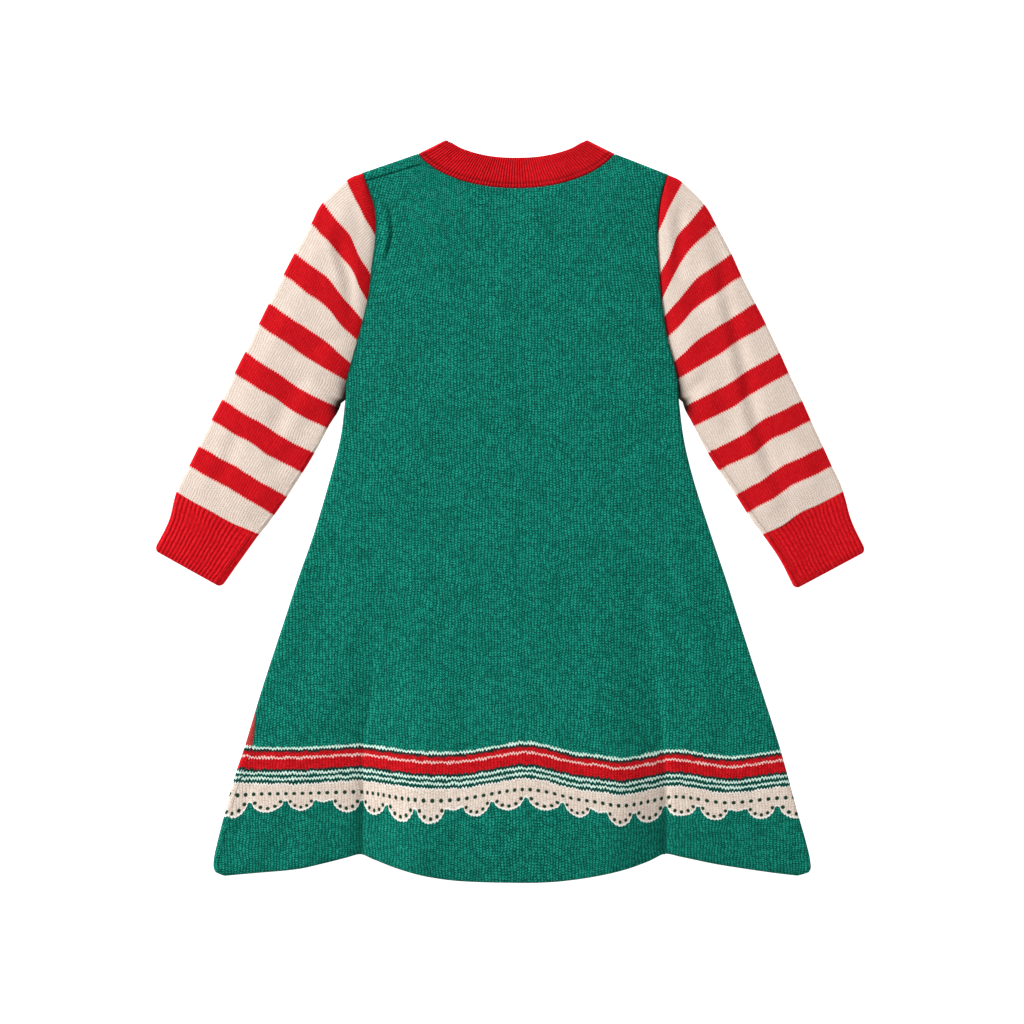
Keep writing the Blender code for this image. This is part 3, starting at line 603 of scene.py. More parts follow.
# Spans along the sleeve are in courses of the tables above.
sleeve = {
    "cloth": 1.5,
    "gap": 0.03,                 # left open along the seams
    "reach": 8.0,                # how far round the inner fold its close columns go
    "shortReach": 0.35,          # and no more than this share of a short course
    "innerRound": (6.8, 1.4),    # span over which its inner edge becomes a round fold
    "seamTurn": 5.4,             # the underarm seam lies a little way over the top
    "seamTurnSpan": (7.8, 2.8),
    # painted shade along the inner seam and by the armhole:
    "seamShade": (1.1, 0.5, 0.14),   # half width, how dark by the armhole and below it
    "edgeSink": (2.4, 0.22),     # half width, depth as a share of the height
    "crown": 1.9,
    "crownReach": 20.0,
    "crownSpan": (14.0, -0.9),   # it falls towards the cuff
    "crownAtCuff": 0.3,          # to this share
    "creaseInset": 8.0,          # creases fade this near the edges
    "waves": [(0.7, 26.0, 34.0, 0.0), (0.3, 12.0, 15.0, 4.0)],
    "startRows": [0.0, 0.1],
    "rows": (0.25, 13.8),
    "rowStep": 0.12,
    "endRows": [13.88, 13.94, 13.985],
    "foldStep": 15,              # degrees round the outer fold
    "topColumns": 34,
    "underColumns": 18,
    "outerEase": 0.8,            # how far its edges stand out past the courses' ends
    "innerEase": 1.1,
    "easeEnd": (13.4, 0.8),
    "innerEaseSpan": (8.4, 1.2),
    "bendHalf": 0.16,            # half length of a bend, as a share of the course
    "bendSwing": 1.8,
    # beside the armhole it sinks under the body's edge, with painted shade there
    "sinkHalf": 5.0,
    "sinkSpan": (8.4, -1.2),
    "sinkShade": (4.5, 0.2),
    # the light hardly reaches the hollow under the arm, so painted shade lies there
    "hollowCourse": 8.0,
    "hollowHalves": (1.0, 0.45),
    "hollowShade": 1.4,
    # how much of the seams' painted shade shows, and the darkest painted shade
    "seamDark": 0.8,
    "darkest": 1.25,
    "turns": [0.0, 0.06, 0.14, 0.25, 0.38, 0.52, 0.68, 0.84, 1.0],
}
# how far along the sleeve each course lies, in mm from the first stripe's end
courseRun = [
    (0, -36.0), (1, 0.0), (2, 24.8), (3, 42.1), (4, 66.9), (5, 84.2), (6, 109.0), (7, 126.3),
    (8, 151.1), (9, 168.4), (10, 193.2), (11, 210.5), (12, 235.3), (13, 252.6), (14, 277.4),
    (15, 300.0), (16, 322.0),
]
leftSleeveCreases = [
    ([(-130.0, 72.0), (-125.5, 90.0), (-120.5, 106.0), (-118.5, 136.0)], 4.6, 2.3),
    ([(-137.0, 74.0), (-132.0, 92.0), (-127.0, 110.0)], 4.0, -0.9),
    ([(-121.0, 44.0), (-114.0, 60.0), (-109.5, 84.0)], 5.0, 0.9),
    ([(-152.0, 168.0), (-166.0, 196.0), (-180.0, 224.0)], 8.0, 1.3),
    ([(-142.0, 196.0), (-160.0, 226.0), (-178.0, 252.0)], 6.5, 1.2),
    ([(-204.0, 216.0), (-212.0, 240.0), (-222.0, 262.0)], 6.0, 1.0),
    ([(-128.0, 196.0), (-134.0, 186.0), (-146.0, 176.0)], 5.0, 1.5),
    ([(-124.0, 150.0), (-138.0, 150.0), (-152.0, 160.0)], 6.0, 0.9),
]
rightSleeveCreases = [
    ([(155.0, 77.0), (163.5, 122.0), (174.0, 160.0), (181.0, 196.0), (193.5, 238.0),
      (209.0, 275.0)], 5.6, 2.3),
    ([(147.0, 80.0), (156.0, 124.0), (166.0, 164.0), (173.0, 200.0), (185.0, 242.0),
      (200.0, 276.0)], 5.0, -0.8),
    ([(128.5, 46.0), (127.0, 78.0), (126.0, 108.0)], 5.0, 1.6),
    ([(134.0, 128.0), (150.0, 116.0), (162.0, 112.0)], 5.0, 0.8),
    ([(196.0, 214.0), (206.0, 240.0), (217.0, 262.0)], 6.0, 1.0),
    ([(150.0, 176.0), (160.0, 204.0), (168.0, 230.0)], 7.0, 1.0),
    ([(131.0, 196.0), (138.0, 186.0), (150.0, 176.0)], 5.0, 1.5),
]


def courseEnds(courses, number):
    values = [along(courses, number, n) for n in range(1, 8)]
    outer, inner = values[0:2], values[2:4]
    run = inner[0] - outer[0], inner[1] - outer[1]
    share = (1 - rise(sleeve["easeEnd"], number)) / math.hypot(*run)
    outwards = sleeve["outerEase"] * smooth(number) * share
    inwards = sleeve["innerEase"] * rise(sleeve["innerEaseSpan"], number) * share
    outer = [outer[n] - outwards * run[n] for n in (0, 1)]
    inner = [inner[n] + inwards * run[n] for n in (0, 1)]
    if number <= body["underarmCourse"]:
        if outer[0] < 0:
            inner[0] = bodySide(1, inner[1]) - sleeve["gap"]
        else:
            inner[0] = bodySide(2, inner[1]) + sleeve["gap"]
    return outer, inner, *values[4:]


def onCourse(ends, share, shift=0.0):
    # A point of a course, which bows and bends; shift moves it down the sleeve.
    outer, inner, bow, bendAt, bend = ends
    run = inner[0] - outer[0], inner[1] - outer[1]
    length = math.hypot(*run)
    outwards = 1 if outer[0] < 0 else -1
    off = (share - bendAt) / sleeve["bendHalf"]
    swing = sleeve["bendSwing"] * bend * off * math.exp(-0.5 * off * off)
    stand = 4 * share * (1 - share) * (bow - swing) - shift
    x = mix(outer[0], inner[0], share) + outwards * abs(run[1]) / length * stand
    return x, mix(outer[1], inner[1], share) - abs(run[0]) / length * stand


def sleeveColumns(topSteps, underSteps, innerTurns, outerAngles):
    columns = [("innerTop", turn) for turn in innerTurns]
    columns += [("top", 1 - n / topSteps) for n in range(1, topSteps)]
    columns += [("outer", math.radians(angle)) for angle in outerAngles]
    columns += [("under", n / underSteps) for n in range(1, underSteps)]
    return columns + [("innerUnder", turn) for turn in reversed(innerTurns)]


def roundCorner(number, share, length):
    # Turns the square corners of the cuff's end into round ones.
    reach, course = cuff["corner"], cuff["courseLength"]
    ending = reach - (cuff["end"] - number) * course
    beside = reach - min(share, 1 - share) * length
    if ending <= 0 or beside <= 0:
        return number, share
    turned = max(ending, beside) / math.hypot(ending, beside)
    number = cuff["end"] - (reach - ending * turned) / course
    beside = (reach - beside * turned) / length
    return number, beside if share < 0.5 else 1 - beside


def sleevePoint(courses, foldHigh, topHeight, column, number, shift=0.0):
    # A point of a sleeve or a cuff: x, down, height, its place in the knit (across
    # and along), its painted shade, its lift between the layers, the way to the inner edge.
    place, value = column
    radius = foldHigh / 2
    ends = courseEnds(courses, number)
    length = math.dist(ends[0], ends[1])
    reach = min(sleeve["reach"], sleeve["shortReach"] * length)
    rounded = rise(sleeve["innerRound"], number)
    seam = sleeve["seamTurn"] * rise(sleeve["seamTurnSpan"], number)
    roundInset = foldInset(radius, sleeve["reach"]) * reach / sleeve["reach"]
    innerInset = mix(reach, roundInset, rounded)
    isUnder = place in ("under", "innerUnder")
    lift, shade = -1.0 if isUnder else 1.0, 0.0
    if place == "outer":
        share, lift = foldInset(radius, value * radius) / length, math.sin(value)
        u = radius - (math.pi / 2 - value) * radius
    elif place in ("top", "under"):
        share = mix(radius, length - innerInset, value) / length
        u = share * length
    else:
        sign = -1 if isUnder else 1
        turn = mix(seam + sign * sleeve["gap"], sign * sleeve["reach"], value)
        share = 1 - mix(value * reach, foldInset(radius, turn), rounded) / length
        lift = mix(sign, math.sin(foldAngle(radius, turn)), rounded)
        u = length - innerInset + (1 - value) * reach
        half, byArmhole, below = sleeve["seamShade"]
        shade = bell(value * reach, half) * mix(byArmhole, below, rounded)
        if number < body["underarmCourse"] and sign > 0:
            half, depth = sleeve["edgeSink"]
            lift -= (1 - rounded) * depth * bell(value * reach, half)
    if isUnder:
        u = 2 * radius - math.pi * radius - u
    v = along(courseRun, number)
    if number > cuff["start"]:
        number, share = roundCorner(number, share, length)
        ends = courseEnds(courses, number)
    x, down = onCourse(ends, share, shift * (cuff["end"] - number) / 2)
    height = foldHeight(radius, lift, topHeight(number, share, length, x, down))
    return x, down, height, u, v, shade, lift, (1 - share) * length


def buildSleeve(name, courses, creases, sink, hollow, flip, seed):
    # sink is how far it sinks beside the armhole, hollow how wide the painted
    # shade is under the arm, both in mm.
    def topHeight(number, share, length, x, down):
        outer, inner = share * length, (1 - share) * length
        openness = smooth(outer / sleeve["crownReach"]) * smooth(inner / sleeve["crownReach"])
        near = smooth(outer / sleeve["creaseInset"]) * smooth(inner / sleeve["creaseInset"])
        rest = openness * unevenness(sleeve["waves"], x, down, seed)
        rest -= sink * bell(inner, sleeve["sinkHalf"]) * rise(sleeve["sinkSpan"], number)
        full = mix(sleeve["crownAtCuff"], 1.0, rise(sleeve["crownSpan"], number))
        crown = sleeve["crown"] * openness * full
        return body["foldHeight"] + crown + rest - near * creaseDepth(creases, x, down)

    def place(column, number):
        x, down, height, u, v, shade, lift, gap = sleevePoint(
            courses, body["foldHeight"], topHeight, column, number)
        # painted shade in the hollow under the arm, beside the armhole and along the seams
        above, below = sleeve["hollowHalves"]
        half = above if number < sleeve["hollowCourse"] else below
        under = bell(number - sleeve["hollowCourse"], half) * bell(gap, hollow)
        half, dark = sleeve["sinkShade"]
        beside = dark * sink * bell(gap, half) * rise(sleeve["sinkSpan"], number)
        shade = sleeve["seamDark"] * shade + beside + sleeve["hollowShade"] * under
        return (x, down, max(height, 0.0)), (u, v), min(shade, sleeve["darkest"]), 0.0

    columns = sleeveColumns(sleeve["topColumns"], sleeve["underColumns"], sleeve["turns"],
                            range(90, -91, -sleeve["foldStep"]))
    rows = sleeve["startRows"] + steps(*sleeve["rows"], sleeve["rowStep"]) + sleeve["endRows"]
    return newSheet(name, columns, rows, place, sleeve["cloth"], flip)


cuff = {
    "cloth": 1.7,
    "foldHeight": 5.8,
    "start": 14.0,               # in courses, as its rows are
    "end": 16.0,
    "courseLength": 22.5,        # mm to one of the tables' courses
    "startRows": [14.0, 14.04],
    "rows": (14.1, 15.6),
    "rowStep": 0.11,
    "endRows": [15.68, 15.72, 15.78, 15.86, 15.93, 15.97, 16.0],
    "foldStep": 9,
    "ribs": 20,                  # across the side that shows
    "ribWidth": 2.5,
    "rise": 0.45,
    "columnsPerRib": 6,
    "gap": -0.5,                 # its loops reach over the sleeve's last course
    "corner": 3.9,               # how round the corners of its end are
    "waves": [(0.25, 18.0, 18.0, 0.0)],
    "edgeHalf": 0.05,            # its end is drawn in over this share of a course
    "edgeRibs": 0.6,             # how much of the ribs' height goes there
    "edgeDown": 0.5,             # how far its top comes down, in mm
    "edgeUp": 0.4,               # and its underside up
    # painted shade above the end's rim, along the joining seam, in the ribs' grooves and on the
    # inner fold:
    "hemShade": (15.88, 0.04, 0.3),  # course, half width in courses, how dark
    "seamShade": (4.4, 0.55),    # the joining seam: mm from the inner edge, half width
    "grooveShade": 0.2,
    "foldShade": 0.6,
    "turns": [0.0, 0.06, 0.14, 0.24, 0.34, 0.44, 0.55, 0.66, 0.77, 0.88, 1.0],
}


def ribShape(phase):
    # A rib's round back and the narrow groove beside it, from 0 to 1.
    return abs(math.cos(math.pi * phase))


def buildCuff(name, courses, seamDark, flip, seed):
    def topHeight(number, share, length, x, down):
        return cuff["foldHeight"] + unevenness(cuff["waves"], x, down, seed)

    def place(column, number):
        x, down, height, u, v, shade, lift, gap = sleevePoint(
            courses, cuff["foldHeight"], topHeight, column, number, cuff["gap"])
        ends = courseEnds(courses, number)
        pitch = math.dist(ends[0], ends[1]) / cuff["ribs"]
        rib = ribShape(u / pitch)
        edge = bell(cuff["end"] - number, cuff["edgeHalf"])
        raised = cuff["rise"] * (rib if lift > 0 else rib - 1)
        height += lift * raised * (1 - cuff["edgeRibs"] * edge)
        height -= max(lift, 0.0) * cuff["edgeDown"] * edge
        height += max(-lift, 0.0) * cuff["edgeUp"] * edge
        # painted shade above the end's rim, along the joining seam, in the ribs' grooves and on the
        # inner fold
        hemAt, half, dark = cuff["hemShade"]
        hem = dark * bell(hemAt - number, half)
        seamAt, half = cuff["seamShade"]
        seam = seamDark * bell(gap - seamAt, half) if lift > 0 else 0.0
        shade = max(cuff["foldShade"] * shade, hem, seam, cuff["grooveShade"] * (1 - rib))
        stitchAt = (u / pitch + 0.5) * cuff["ribWidth"], v
        return (x, down, max(height, 0.0)), stitchAt, shade, 0.0

    count = cuff["ribs"] * cuff["columnsPerRib"]
    columns = sleeveColumns(count, count, cuff["turns"], range(90, -91, -cuff["foldStep"]))
    rows = cuff["startRows"] + steps(*cuff["rows"], cuff["rowStep"]) + cuff["endRows"]
    return newSheet(name, columns, rows, place, cuff["cloth"], flip)


collar = {
    "cloth": 1.7,
    "freeHalf": 53.5,            # its free edge: half width, depth at the back and front
    "backFreeDrop": 12.9,
    "frontFreeDrop": 44.0,
    "freeCurve": 2.4,            # power that makes its foot flat
    "gap": 0.03,
    "linePoints": 240,
    # across the band, from its seam at 0 to its free edge at 1
    "startRows": [0.0, 0.03, 0.07, 0.11, 0.15, 0.19, 0.24],
    "rows": (0.32, 0.88),
    "rowStep": 0.08,
    "endRows": [0.93, 0.965, 1.0],
    "foldStep": 15,
    "peakRound": 0.7,            # how far the peaks' sides bulge
    "peakTip": (0.3, 2.5),       # the tip itself stands up: share of that, mm
    "peakSides": (4.0, 5.0),     # mm from the tip to the bulge, its half width
    "backLength": 118.0,
    "ribWidth": 2.5,
    "ribs": 66,                  # round the back of the neck
    "frontRibs": 78,
    "rise": 0.5,
    "columnsPerRib": 6,
    "frontColumnsPerRib": 4,
    # across the band, as shares of its width: half width, depth, how dark
    "edgeDown": (0.05, 0.6),
    "edgeUp": 0.4,               # and the front's free edge comes up
    # the seam and the stitched line are grooves with painted shade in them
    "seam": (0.05, 0.7, 0.8),
    "stitched": (0.04, 0.45, 0.75),
    "stitchedAt": 0.16,
    "seamRibs": 0.7,             # how much of the ribs' height goes at the seam
    "grooveShade": 0.5,
    "join": (0.045, 0.05, 0.005, 0.5),   # its ends' join: place, lean, half width, how dark
    "bandLength": 22.0,          # mm of knit across the band
}


def neckLine(half, dropAt, base):
    # An edge of the neck: its points, and how far along it each lies.
    points, lengths = [], [0.0]
    for n in range(collar["linePoints"] + 1):
        x = body["neckMiddle"] - half * math.cos(math.pi * n / collar["linePoints"])
        points.append((x, base + dropAt(x)))
        if n:
            lengths.append(lengths[-1] + math.dist(points[-1], points[-2]))
    return points, lengths


def onNeckLine(line, distance):
    points, lengths = line
    n = 0
    while n < len(lengths) - 2 and lengths[n + 1] < distance:
        n += 1
    t = min((distance - lengths[n]) / (lengths[n + 1] - lengths[n]), 1.0)
    return [mix(low, high, t) for low, high in zip(points[n], points[n + 1])]


def neckLines(drop, freeDrop):
    # The sewn edge and the free edge, from the neck's left to its right.
    def sewn(x):
        return neckEdge(x, drop, collar["gap"]) - body["neckDown"]

    def free(x):
        u = min(abs(x - body["neckMiddle"]) / collar["freeHalf"], 1.0)
        return freeDrop * (1 - u**collar["freeCurve"])

    return (neckLine(body["neckHalf"] - collar["gap"], sewn, body["neckDown"]),
            neckLine(collar["freeHalf"], free, 0.0))


def buildCollar():
    radius = body["foldHeight"] / 2
    lines = {1: neckLines(body["backNeckDrop"], collar["backFreeDrop"]),
             -1: neckLines(body["frontNeckDrop"], collar["frontFreeDrop"])}
    backCount = collar["ribs"] * collar["columnsPerRib"]
    frontCount = collar["frontRibs"] * collar["frontColumnsPerRib"]
    halfRound = [math.radians(angle) * radius for angle in range(-75, 76, collar["foldStep"])]
    columns = [("back", n / backCount) for n in range(backCount + 1)]
    columns += [("right", turn) for turn in reversed(halfRound)]
    columns += [("front", 1 - n / frontCount) for n in range(frontCount + 1)]
    columns += [("left", turn) for turn in halfRound]

    def place(column, share):
        where, value = column
        turned = where in ("left", "right")
        layer = 1 if where == "back" or turned and value >= 0 else -1
        ends = []
        for line in lines[layer]:
            total = line[1][-1]
            distance = foldInset(radius, value) if turned else mix(radius, total - radius, value)
            ends.append(onNeckLine(line, total - distance if where == "right" else distance))
        x, down = [mix(low, high, share) for low, high in zip(*ends)]
        fromPeak = collar["backLength"] * min(value, 1 - value)
        if turned:
            fromPeak = foldInset(radius, value)
        (tip, tipReach), (sidesAt, sidesHalf) = collar["peakTip"], collar["peakSides"]
        peak = tip * max(1 - fromPeak / tipReach, 0.0) - bell(fromPeak - sidesAt, sidesHalf)
        down += collar["peakRound"] * peak * smooth((share - 0.5) / 0.5)
        lift = math.sin(foldAngle(radius, value)) if turned else layer
        height = foldHeight(radius, lift, backTop(x, down))
        edgeHalf, edgeDepth = collar["edgeDown"]
        seamHalf, seamDepth, seamDark = collar["seam"]
        stitchedHalf, stitchedDepth, stitchedDark = collar["stitched"]
        edge, seam = bell(1 - share, edgeHalf), bell(share, seamHalf)
        stitched = bell(share - collar["stitchedAt"], stitchedHalf)
        rib, ribs, join = 1.0, 0.0, 0.0
        if where == "back":
            ribs = value * collar["ribs"]
            rib = ribShape(ribs)
            height += collar["rise"] * rib * (1 - collar["seamRibs"] * seam) - edgeDepth * edge
            height += -seamDepth * seam - stitchedDepth * stitched
            joinAt, lean, half, dark = collar["join"]
            join = dark * bell(value - joinAt - lean * share, half)
        elif where == "front":
            ribs = value * collar["frontRibs"]
            rib = ribShape(ribs)
            height += collar["rise"] * (1 - rib) + collar["edgeUp"] * edge
        # painted shade along the seam, the stitched line and the ends' join, and in the ribs'
        # grooves
        grooveDark = collar["grooveShade"] * (1 - rib)
        shade = max(seamDark * seam, stitchedDark * stitched, grooveDark, join)
        stitchAt = (ribs + 0.5) * collar["ribWidth"], share * collar["bandLength"]
        return (x, down, max(height, 0.0)), stitchAt, shade, 0.0

    rows = collar["startRows"] + steps(*collar["rows"], collar["rowStep"]) + collar["endRows"]
    return newSheet("collarRib", columns, rows, place, collar["cloth"], False)


# The materials: washed cotton yarn, knitted. All colours are sRGB.

def toLinear(hexColour):
    parts = [int(hexColour[n:n + 2], 16) / 255 for n in (1, 3, 5)]
    return [c / 12.92 if c <= 0.04045 else ((c + 0.055) / 1.055)**2.4 for c in parts] + [1.0]


def addNode(tree, kind, inputs, **settings):
    # The inputs are values, sockets or nodes, in the node's own order or by name.
    node = tree.nodes.new("ShaderNode" + kind)
    for key, value in settings.items():
        setattr(node, key, value)
    for key, value in inputs.items() if isinstance(inputs, dict) else enumerate(inputs):
        if isinstance(value, bpy.types.Node):
            value = value.outputs[0]
        if isinstance(value, bpy.types.NodeSocket):
            tree.links.new(value, node.inputs[key])
        else:
            node.inputs[key].default_value = value
    return node


# A yarn has its own colour, the painted shade of the gaps between its loops,
# the painted highlight of the flecks on them, and the deep painted shade inside
# seams, creases and hollows.
yarns = {
    "green": "#006E5E", "greenDark": "#003A2F", "greenLight": "#28B99C", "greenPaintedShade": "#00241C",
    "red": "#D20B17", "redDark": "#8C020C", "redLight": "#EA2A33", "redPaintedShade": "#220103",
    "ribRed": "#D90715", "ribRedPaintedShade": "#5A0208",
    "cream": "#EEDACC", "creamDark": "#C9B3A1", "creamLight": "#FFF8EE", "creamPaintedShade": "#2B2018",
    "lace": "#EFDDCF", "laceDark": "#C9B3A1", "laceLight": "#FFF8EE", "laceRim": "#FFFCF6",
    "dot": "#1B3E2A",
    "mint": "#DEFBEE", "mintDark": "#B9D6C8",
    "pink": "#FFDCD4", "pinkDark": "#E59A92",
    "bandEdge": "#0A302D",
    "lineGreen": "#004A3E",
    "sideRed": "#B23B36", "sideRedDark": "#861B17", "sideRedLight": "#CE5A53",
    "blush": "#EFB0A4",
}
# a yarn's own colour, its painted shade and its painted highlight
kinds = "", "Dark", "Light"

# What the cotton gives the eye in every knit here: it scatters the light and
# hardly shines, and no two stitches catch it alike.
cotton = {
    "wander": 5.0,               # mm that the wales wander sideways
    "wanderScale": 0.06,         # such scales are per mm
    "level": 0.8,                # how far one wale's stitches lie past the next one's
    # The stitches' light and dark are painted shade and painted highlight from the loops' form,
    # mixed with the yarn's own random tone:
    "raisedShare": 0.48,         # the light and dark come from the loops' form,
    "grainShare": 0.32,          # the yarn's unevenness
    "luckShare": 0.2,            # and each stitch's own luck
    "grainRange": (0.34, 0.66),
    "darkRange": (0.16, 0.46),
    "brightRange": (0.48, 0.82),
    "patchScale": 0.05,          # broad patches, a little darker
    "patchRange": (0.3, 0.7),
    "patchDark": 0.12,
    # how far the painted shade of seams, creases and hollows darkens the yarn
    "seamDark": 0.8,
    "roughRange": (0.3, 0.7),
    "rough": (0.84, 0.98),
    "bump": 0.5,
    "bumpDepth": 0.0006,         # metres that a loop stands out
    "fuzz": 0.5,                 # fuzz on the loops, as a share of that
    "shine": 0.08,
    "sheen": 0.02,               # fibre ends standing off the yarn
    "sheenRough": 0.6,
}
# The real stitches are finer than a render can show, so they are drawn coarser.
bodyKnit = {
    "wale": 2.3,                 # mm between wales
    "course": 1.9,               # mm between courses
    "slant": 0.5,                # how far each leg of a stitch leans, in courses
    "loop": 0.75,                # how far a loop stands out along its wale
    # the dark and bright tones: painted shade in the gaps and painted highlight on the loops, mixed
    # with random tone
    "dark": 1.0,                 # how much the gaps between the yarns show
    "bright": 1.0,               # and the flecks where the light catches the loops
    "grain": 1.1,                # size of the yarn's unevenness, per mm
}
sleeveKnit = {**bodyKnit, "wale": 1.9, "course": 1.8, "loop": 0.6, "dark": 0.4, "bright": 0.6}
ribKnit = {**bodyKnit, "wale": 2.5, "slant": 0.4, "loop": 0.3, "dark": 0.5, "bright": 0.7,
           "grain": 0.9}


def stitchForm(tree, place, u, v, knit):
    # Stockinette shows the V of each loop as two short slanted strands: a soft
    # bright line down every wale, broken into dashes, with dark gaps between; the
    # bright line is painted highlight and the gaps painted shade, and the same form
    # also drives the bump.
    # Returns the way from the wale's middle, its number, its courses, the height.
    wander = addNode(tree, "TexNoise", {"Vector": place, "Scale": cotton["wanderScale"],
                                        "Detail": 2.0})
    wandered = addNode(tree, "Math", (wander, cotton["wander"], -cotton["wander"] / 2),
                       operation="MULTIPLY_ADD")
    moved = addNode(tree, "Math", (u, wandered), operation="ADD")
    wales = addNode(tree, "Math", (moved, knit["wale"]), operation="DIVIDE")
    waleShare = addNode(tree, "Math", (wales,), operation="FRACT")
    centred = addNode(tree, "Math", (waleShare, 0.5), operation="SUBTRACT")
    away = addNode(tree, "Math", (centred,), operation="ABSOLUTE")
    leg = addNode(tree, "Math", (away, 2.0), operation="MULTIPLY")
    courses = addNode(tree, "Math", (v, knit["course"]), operation="DIVIDE")
    # no two wales of a washed knit lie quite level
    waleNumber = addNode(tree, "Math", (wales,), operation="FLOOR")
    level = addNode(tree, "TexWhiteNoise", {"W": waleNumber}, noise_dimensions="1D")
    levelled = addNode(tree, "Math", (level, cotton["level"], courses), operation="MULTIPLY_ADD")
    slanted = addNode(tree, "Math", (leg, knit["slant"], levelled), operation="MULTIPLY_ADD")
    turn = addNode(tree, "Math", (slanted, 2 * math.pi), operation="MULTIPLY")
    wave = addNode(tree, "Math", (turn,), operation="COSINE")
    strand = addNode(tree, "Math", (wave, 0.5, 0.5), operation="MULTIPLY_ADD")
    squared = addNode(tree, "Math", (leg, 2.0), operation="POWER")
    across = addNode(tree, "Math", (1.0, squared), operation="SUBTRACT")
    loops = addNode(tree, "Math", (strand, knit["loop"], 1 - knit["loop"]),
                    operation="MULTIPLY_ADD")
    raised = addNode(tree, "Math", (across, loops), operation="MULTIPLY")
    return leg, waleNumber, slanted, raised


def knitMaterial(name, knit, colourOf):
    material = bpy.data.materials.new(name)
    material.use_nodes = True
    tree = material.node_tree
    shader = tree.nodes["Principled BSDF"]
    place = addNode(tree, "UVMap", (), uv_map="knit")
    split = addNode(tree, "SeparateXYZ", (place,))
    u, v = split.outputs[0], split.outputs[1]
    leg, waleNumber, slanted, raised = stitchForm(tree, place, u, v, knit)
    # each stitch catches the light its own way, over the yarn's own unevenness
    rowNumber = addNode(tree, "Math", (slanted,), operation="FLOOR")
    cell = addNode(tree, "CombineXYZ", (waleNumber, rowNumber))
    chance = addNode(tree, "TexWhiteNoise", {"Vector": cell}, noise_dimensions="3D")
    fuzz = addNode(tree, "TexNoise", {"Vector": place, "Scale": knit["grain"], "Detail": 1.0})
    grain = addNode(tree, "MapRange", (fuzz, *cotton["grainRange"], 0.0, 1.0))
    lucky = addNode(tree, "Math", (chance, cotton["luckShare"]), operation="MULTIPLY")
    uneven = addNode(tree, "Math", (grain, cotton["grainShare"], lucky), operation="MULTIPLY_ADD")
    value = addNode(tree, "Math", (raised, cotton["raisedShare"], uneven), operation="MULTIPLY_ADD")
    base, dark, light, deep = colourOf(tree, u, v, leg)
    # painted shade in the gaps between the loops and painted highlight on them, from the loops'
    # form mixed with the yarn's random tone
    gapShadeShare = addNode(tree, "MapRange", (value, *cotton["darkRange"], knit["dark"], 0.0))
    gapShaded = addNode(tree, "Mix", {"Factor": gapShadeShare, 6: base, 7: dark}, data_type="RGBA")
    highlightShare = addNode(tree, "MapRange", (value, *cotton["brightRange"], 0.0, knit["bright"]))
    highlighted = addNode(tree, "Mix", {"Factor": highlightShare, 6: gapShaded.outputs[2], 7: light},
                      data_type="RGBA")
    patches = addNode(tree, "TexNoise", {"Vector": place, "Scale": cotton["patchScale"],
                                         "Detail": 1.0})
    patchShare = addNode(tree, "MapRange", (patches, *cotton["patchRange"], cotton["patchDark"],
                                            0.0))
    patched = addNode(tree, "Mix", {"Factor": patchShare, 6: highlighted.outputs[2], 7: dark},
                      data_type="RGBA")
    # painted shade along seams, in creases, valleys and hollows, from the seamShade attribute
    seam = addNode(tree, "Attribute", (), attribute_name="seamShade")
    paintedShadeShare = addNode(tree, "Math", (seam.outputs["Fac"], cotton["seamDark"]),
                        operation="MULTIPLY")
    shaded = addNode(tree, "Mix", {"Factor": paintedShadeShare, 6: patched.outputs[2], 7: deep},
                     data_type="RGBA")
    tree.links.new(shaded.outputs[2], shader.inputs["Base Color"])
    rough = addNode(tree, "MapRange", (fuzz, *cotton["roughRange"], *cotton["rough"]))
    tree.links.new(rough.outputs[0], shader.inputs["Roughness"])
    height = addNode(tree, "Math", (fuzz, cotton["fuzz"], raised), operation="MULTIPLY_ADD")
    bump = addNode(tree, "Bump", {"Strength": cotton["bump"], "Distance": cotton["bumpDepth"],
                                  "Height": height})
    tree.links.new(bump.outputs[0], shader.inputs["Normal"])
    shader.inputs["Specular IOR Level"].default_value = cotton["shine"]
    shader.inputs["Sheen Weight"].default_value = cotton["sheen"]
    shader.inputs["Sheen Roughness"].default_value = cotton["sheenRough"]
    print("material", name)
    return material


def ribYarn(tree, u, v, leg):
    # One red yarn. The ribs are modelled, so their grooves only need its dark tones, which are
    # painted shade.
    colours = yarns["ribRed"], yarns["redDark"], yarns["redLight"], yarns["ribRedPaintedShade"]
    nodes = [addNode(tree, "RGB", ()) for colour in colours]
    for node, colour in zip(nodes, colours):
        node.outputs[0].default_value = toLinear(colour)
    return [node.outputs[0] for node in nodes]


def yarnChanges(tree, share, changes):
    # The yarns in their order along a share of the knit, each with where it starts.
    node = addNode(tree, "ValToRGB", (share,))
    node.color_ramp.interpolation = "CONSTANT"
    elements = node.color_ramp.elements
    while len(elements) < len(changes):
        elements.new(1.0)
    for element, (start, colour) in zip(elements, changes):
        element.position = start
    for element, (start, colour) in zip(elements, changes):
        element.color = toLinear(colour)
    return node.outputs[0]


stripes = {
    "cream": 24.8,               # mm of cream, and of a cream and a red together
    "pair": 42.1,
    "blush": 0.7,                # where the two yarns lie over each other
    "tooth": 1.3,                # mm that their edges step from wale to wale
    "sway": 2.4,                 # and drift, and all lie to one side
    "swayScale": 0.07,
    "shift": -2.1,
    "firstRed": -8.0,            # the sleeve's top is red from here up
}


